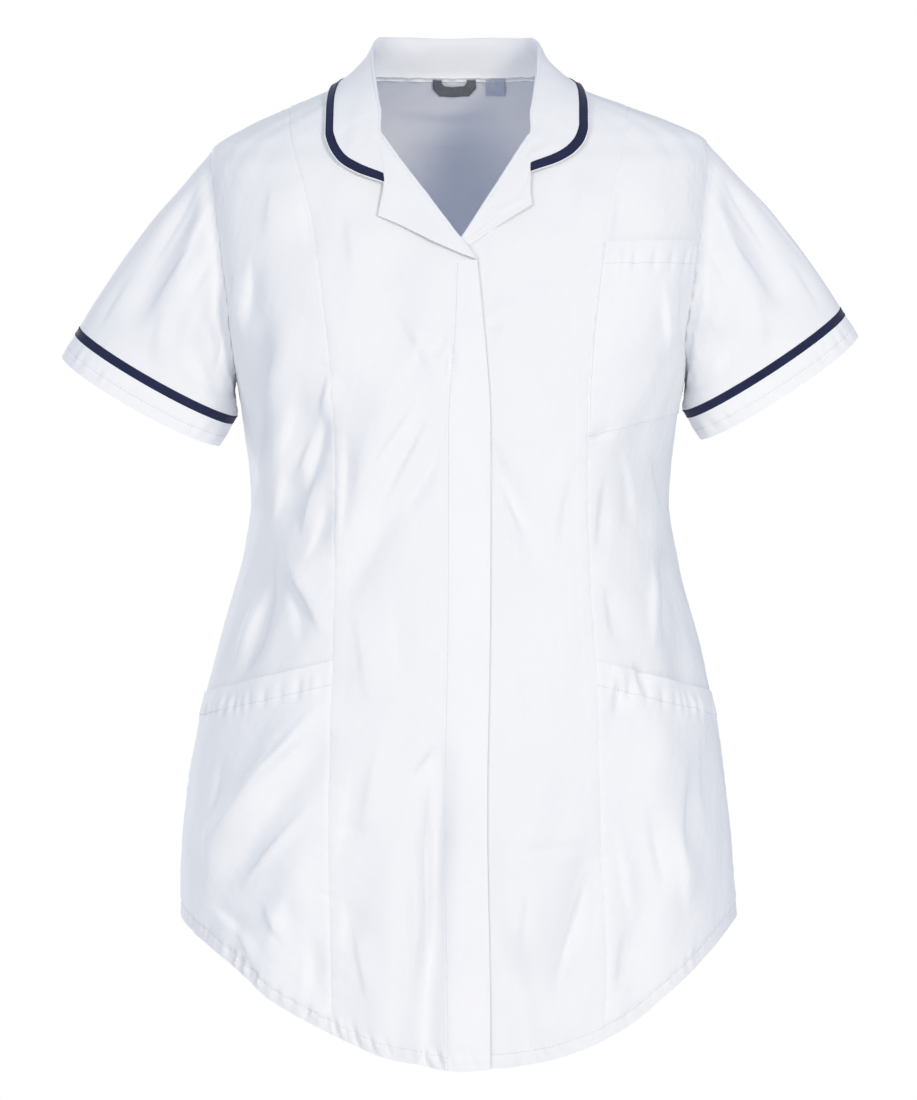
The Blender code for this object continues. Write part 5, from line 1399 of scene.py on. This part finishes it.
def onYokeInside(x, drop, lift):
    # the yoke's surface at a distance x and a drop below the neck, with normals turned to the inside
    height = panelLines["neckBack"] - insideForm["belowNeck"] - drop
    share = np.clip(np.abs(x) / halfWidth(height), 0, 1)
    angle = 180 - np.sign(x) * np.degrees(np.arctan2(share, np.sqrt(1 - share**2)))
    base, out = clothOnBody(angle, height)
    return base + out * lift[..., None], -out


def neckTrim():
    # a tape folded round three sides: its outer line has cut corners, its inner line small ones
    width, height, band, corner = insideForm["loop"]
    half, hole = width / 2, width / 2 - band
    outer = np.array([(half, 0), (half, height - corner), (half - corner, height), (0, height)])
    cut, foot = insideForm["innerCorner"], height - band
    inner = np.array([(hole, 0), (hole, foot - cut), (hole - cut, foot), (0, foot)])
    stops = np.array([0, 14, 26, 40])
    sides = []
    for corners in (outer, inner):
        line = np.stack([np.interp(np.arange(41), stops, corners[:, i]) for i in (0, 1)], axis=1)
        sides.append(np.concatenate([line, line[-2::-1] * (-1, 1)]))
    offsets = np.linspace(0, 1, 11)[:, None, None]
    lines = sides[0] * (1 - offsets) + sides[1] * offsets
    lift = -(insideForm["gap"] + 0.5 + 0.15 * np.sin(offsets[..., 0] * math.pi) + 0 * lines[..., 0])
    grid, facing = onYokeInside(lines[..., 0], lines[..., 1], lift)
    clothShell("hangerLoopTape", grid, facing, "webbing", "hanger_loop", "yokeCloth", 0.9)
    # the label: a flat ribbon that stands off a little more at its foot, with one slow wave across
    left, right, deep = insideForm["label"]
    x, drop = np.meshgrid(np.linspace(left, right, 25), np.linspace(0, deep, 19))
    lift = -(insideForm["gap"] + 0.4 + 0.5 * smoothStep(drop / deep) + 0.15 * np.sin((x - left) / 9))
    grid, facing = onYokeInside(x, drop, lift)
    clothShell("neckLabelRibbon", grid, facing, "label", "neck_label", "yokeCloth", 0.4)


print("loop and label")
neckTrim()


def sewing():
    # every stitch line lies in from one border of a piece, and is lifted about half its thickness
    form, both = stitchForm, ("bottom", "top")
    panels = ("frontRight", "frontLeft", "sideFrontRight", "sideFrontLeft", "back")
    hem = [(panel + "Cloth", "bottom", hemForm["stitch"]) for panel in panels]
    patches = ("hipPocketRight", "hipPocketLeft", "chestPocket")
    mouths = [(patch + "Cloth", "top", mouthForm["stitch"]) for patch in patches]
    chest = [("chestPocketCloth", border, form["pocket"]) for border in ("first", "last", "bottom")]
    yoke = [("yokeCloth", "bottom", away) for away in form["yoke"]]
    cuffs = [("sleeve" + word + "Cuff", "top", form["cuff"]) for word in ("Right", "Left")]
    braids = ("sleeveRightTape", "sleeveLeftTape", "collarTape")
    tapes = [(braid, border, form["tape"]) for braid in braids for border in both]
    loop = [("hangerLoopTape", border, form["loop"]) for border in both]
    label = [("neckLabelRibbon", "bottom", form["label"])]
    band = [("placketCloth", "first", form["placket"])]
    single = clothThickness / 2
    for name, lines, thread, slot, lift in (
        ("hemStitches", hem, whiteThread, "white_polycotton", single),
        ("placketStitches", band, whiteThread, "white_polycotton_trim", single),
        ("pocketStitches", mouths + chest, whiteThread, "white_polycotton_trim", single),
        ("yokeStitches", yoke, whiteThread, "white_polycotton", single),
        ("cuffStitches", cuffs, whiteThread, "white_polycotton", 0.45),
        ("tapeStitches", tapes, navyThread, "navy_braid", 0.3),
        ("labelStitches", label, whiteThread, "woven_label", 0.2),
        ("loopStitches", loop, greyThread, "grey_tape", 0.45),
    ):
        found = [insetLine(*pieceLines[piece], border, away) for piece, border, away in lines]
        sewPiece(name, found, thread, slot, lift)


print("sewing")
sewing()


# Studio

studioForm = {
    "floorHeight": -1.05,
    "floorRadii": (0.0, 0.4, 0.8, 1.15, 1.25, 1.3),
    "floorRim": (0.02, 1.2, 0.1),  # how far it drops, from what radius, and over what distance
    "floorColours": ("#F0F0F1", "#F6F6F7"),
    "surround": ("#DDEAFF", 0.60),
    # each soft light: place, the point it faces, size, power and colour
    "lights": [
        ("keyLight", (1.5, -2.7, 0.4), (0, 0, -0.44), 0.8, 36.0, "#FFF2DE"),
        ("fillLight", (-1.6, -2.6, 0.15), (0, 0, -0.44), 1.0, 21.0, "#FFF2DE"),
        ("topLight", (0.0, -0.3, 2.1), (0, 0, -0.4), 1.4, 1.0, "#FFFDF8"),
        ("backLight", (-1.9, 2.4, 0.5), (0, 0, -0.44), 1.0, 36.0, "#FFF6EA"),
        ("neckLight", (0.0, -0.03, -0.28), (0, 0.08, -0.02), 0.1, 0.05, "#AFC2FF"),
    ],
}


def studio():
    # a round floor whose rim drops, five soft lights, and a world that is white to the camera
    turn = np.linspace(0, 2 * math.pi, 97)[:-1]
    radii = np.array(studioForm["floorRadii"])
    drop, rim, span = studioForm["floorRim"]
    x, y = radii[:, None] * np.cos(turn), radii[:, None] * np.sin(turn)
    z = studioForm["floorHeight"] - drop * smoothStep((radii - rim) / span)[:, None] + 0 * x
    points = np.stack([x, y, z], -1).reshape(-1, 3)
    number = np.arange(points.shape[0]).reshape(x.shape)
    after = np.roll(number, -1, axis=1)
    quads = np.stack([number[:-1], number[1:], after[1:], after[:-1]], -1).reshape(-1, 4)
    mesh = bpy.data.meshes.new("studioFloor")
    mesh.from_pydata(points.tolist(), [], quads.tolist())
    mesh.update()
    floor = bpy.data.objects.new("studioFloor", mesh)
    bpy.context.scene.collection.objects.link(floor)
    # Painted board: an even, pale, matt white.
    board = bpy.data.materials.new("paintedBoard")
    board.use_nodes = True
    shader = board.node_tree.nodes["Principled BSDF"]
    grain = addNode(board.node_tree, "ShaderNodeTexNoise", {"Scale": 6.0})
    tone = addNode(board.node_tree, "ShaderNodeValToRGB", None, {"Fac": grain.outputs["Fac"]})
    for stop, colour in zip(tone.color_ramp.elements, studioForm["floorColours"]):
        stop.color = linearColour(colour)
    board.node_tree.links.new(tone.outputs["Color"], shader.inputs["Base Color"])
    shader.inputs["Roughness"].default_value = 0.9
    mesh.materials.append(board)
    for name, place, facing, size, power, colour in studioForm["lights"]:
        light = bpy.data.lights.new(name, "AREA")
        light.energy = power
        light.size = size
        light.color = linearColour(colour)[:3]
        lamp = bpy.data.objects.new(name, light)
        bpy.context.scene.collection.objects.link(lamp)
        lamp.location = place
        lamp.rotation_euler = (Vector(facing) - Vector(place)).to_track_quat("-Z", "Y").to_euler()
    world = bpy.data.worlds.new("softWhite")
    bpy.context.scene.world = world
    world.use_nodes = True
    tree = world.node_tree
    backdrop = tree.nodes["Background"]
    backdrop.inputs[0].default_value = (1.0, 1.0, 1.0, 1.0)
    backdrop.inputs[1].default_value = 1.0
    colour, strength = studioForm["surround"]
    around = addNode(tree, "ShaderNodeBackground", {"Color": linearColour(colour), "Strength": strength})
    seen = addNode(tree, "ShaderNodeLightPath")
    mix = addNode(tree, "ShaderNodeMixShader", None, {"Fac": seen.outputs["Is Camera Ray"]})
    tree.links.new(around.outputs[0], mix.inputs[1])
    tree.links.new(backdrop.outputs[0], mix.inputs[2])
    tree.links.new(mix.outputs[0], tree.nodes["World Output"].inputs[0])
    scene = bpy.context.scene
    scene.view_settings.view_transform = "Standard"
    scene.view_settings.look = "None"


# the lens and its sensor are in mm; the frame's width at the tunic, and the camera's place, in metres
cameraForm = {"lens": 145, "sensor": 36, "frameWidth": 0.924, "x": -0.0013, "height": -0.398}


def camera():
    # level, from straight in front, as a long lens sees the whole tunic
    form = cameraForm
    lens = bpy.data.cameras.new("photoCamera")
    lens.lens = form["lens"]
    lens.sensor_width = form["sensor"]
    view = bpy.data.objects.new("photoCamera", lens)
    bpy.context.scene.collection.objects.link(view)
    view.location = (form["x"], -form["lens"] * form["frameWidth"] / form["sensor"], form["height"])
    view.rotation_euler = (math.radians(90), 0, 0)
    bpy.context.scene.camera = view


print("studio and camera")
studio()
camera()


print("sheets: name, width mm, length mm, area cm2", sheetFacts)
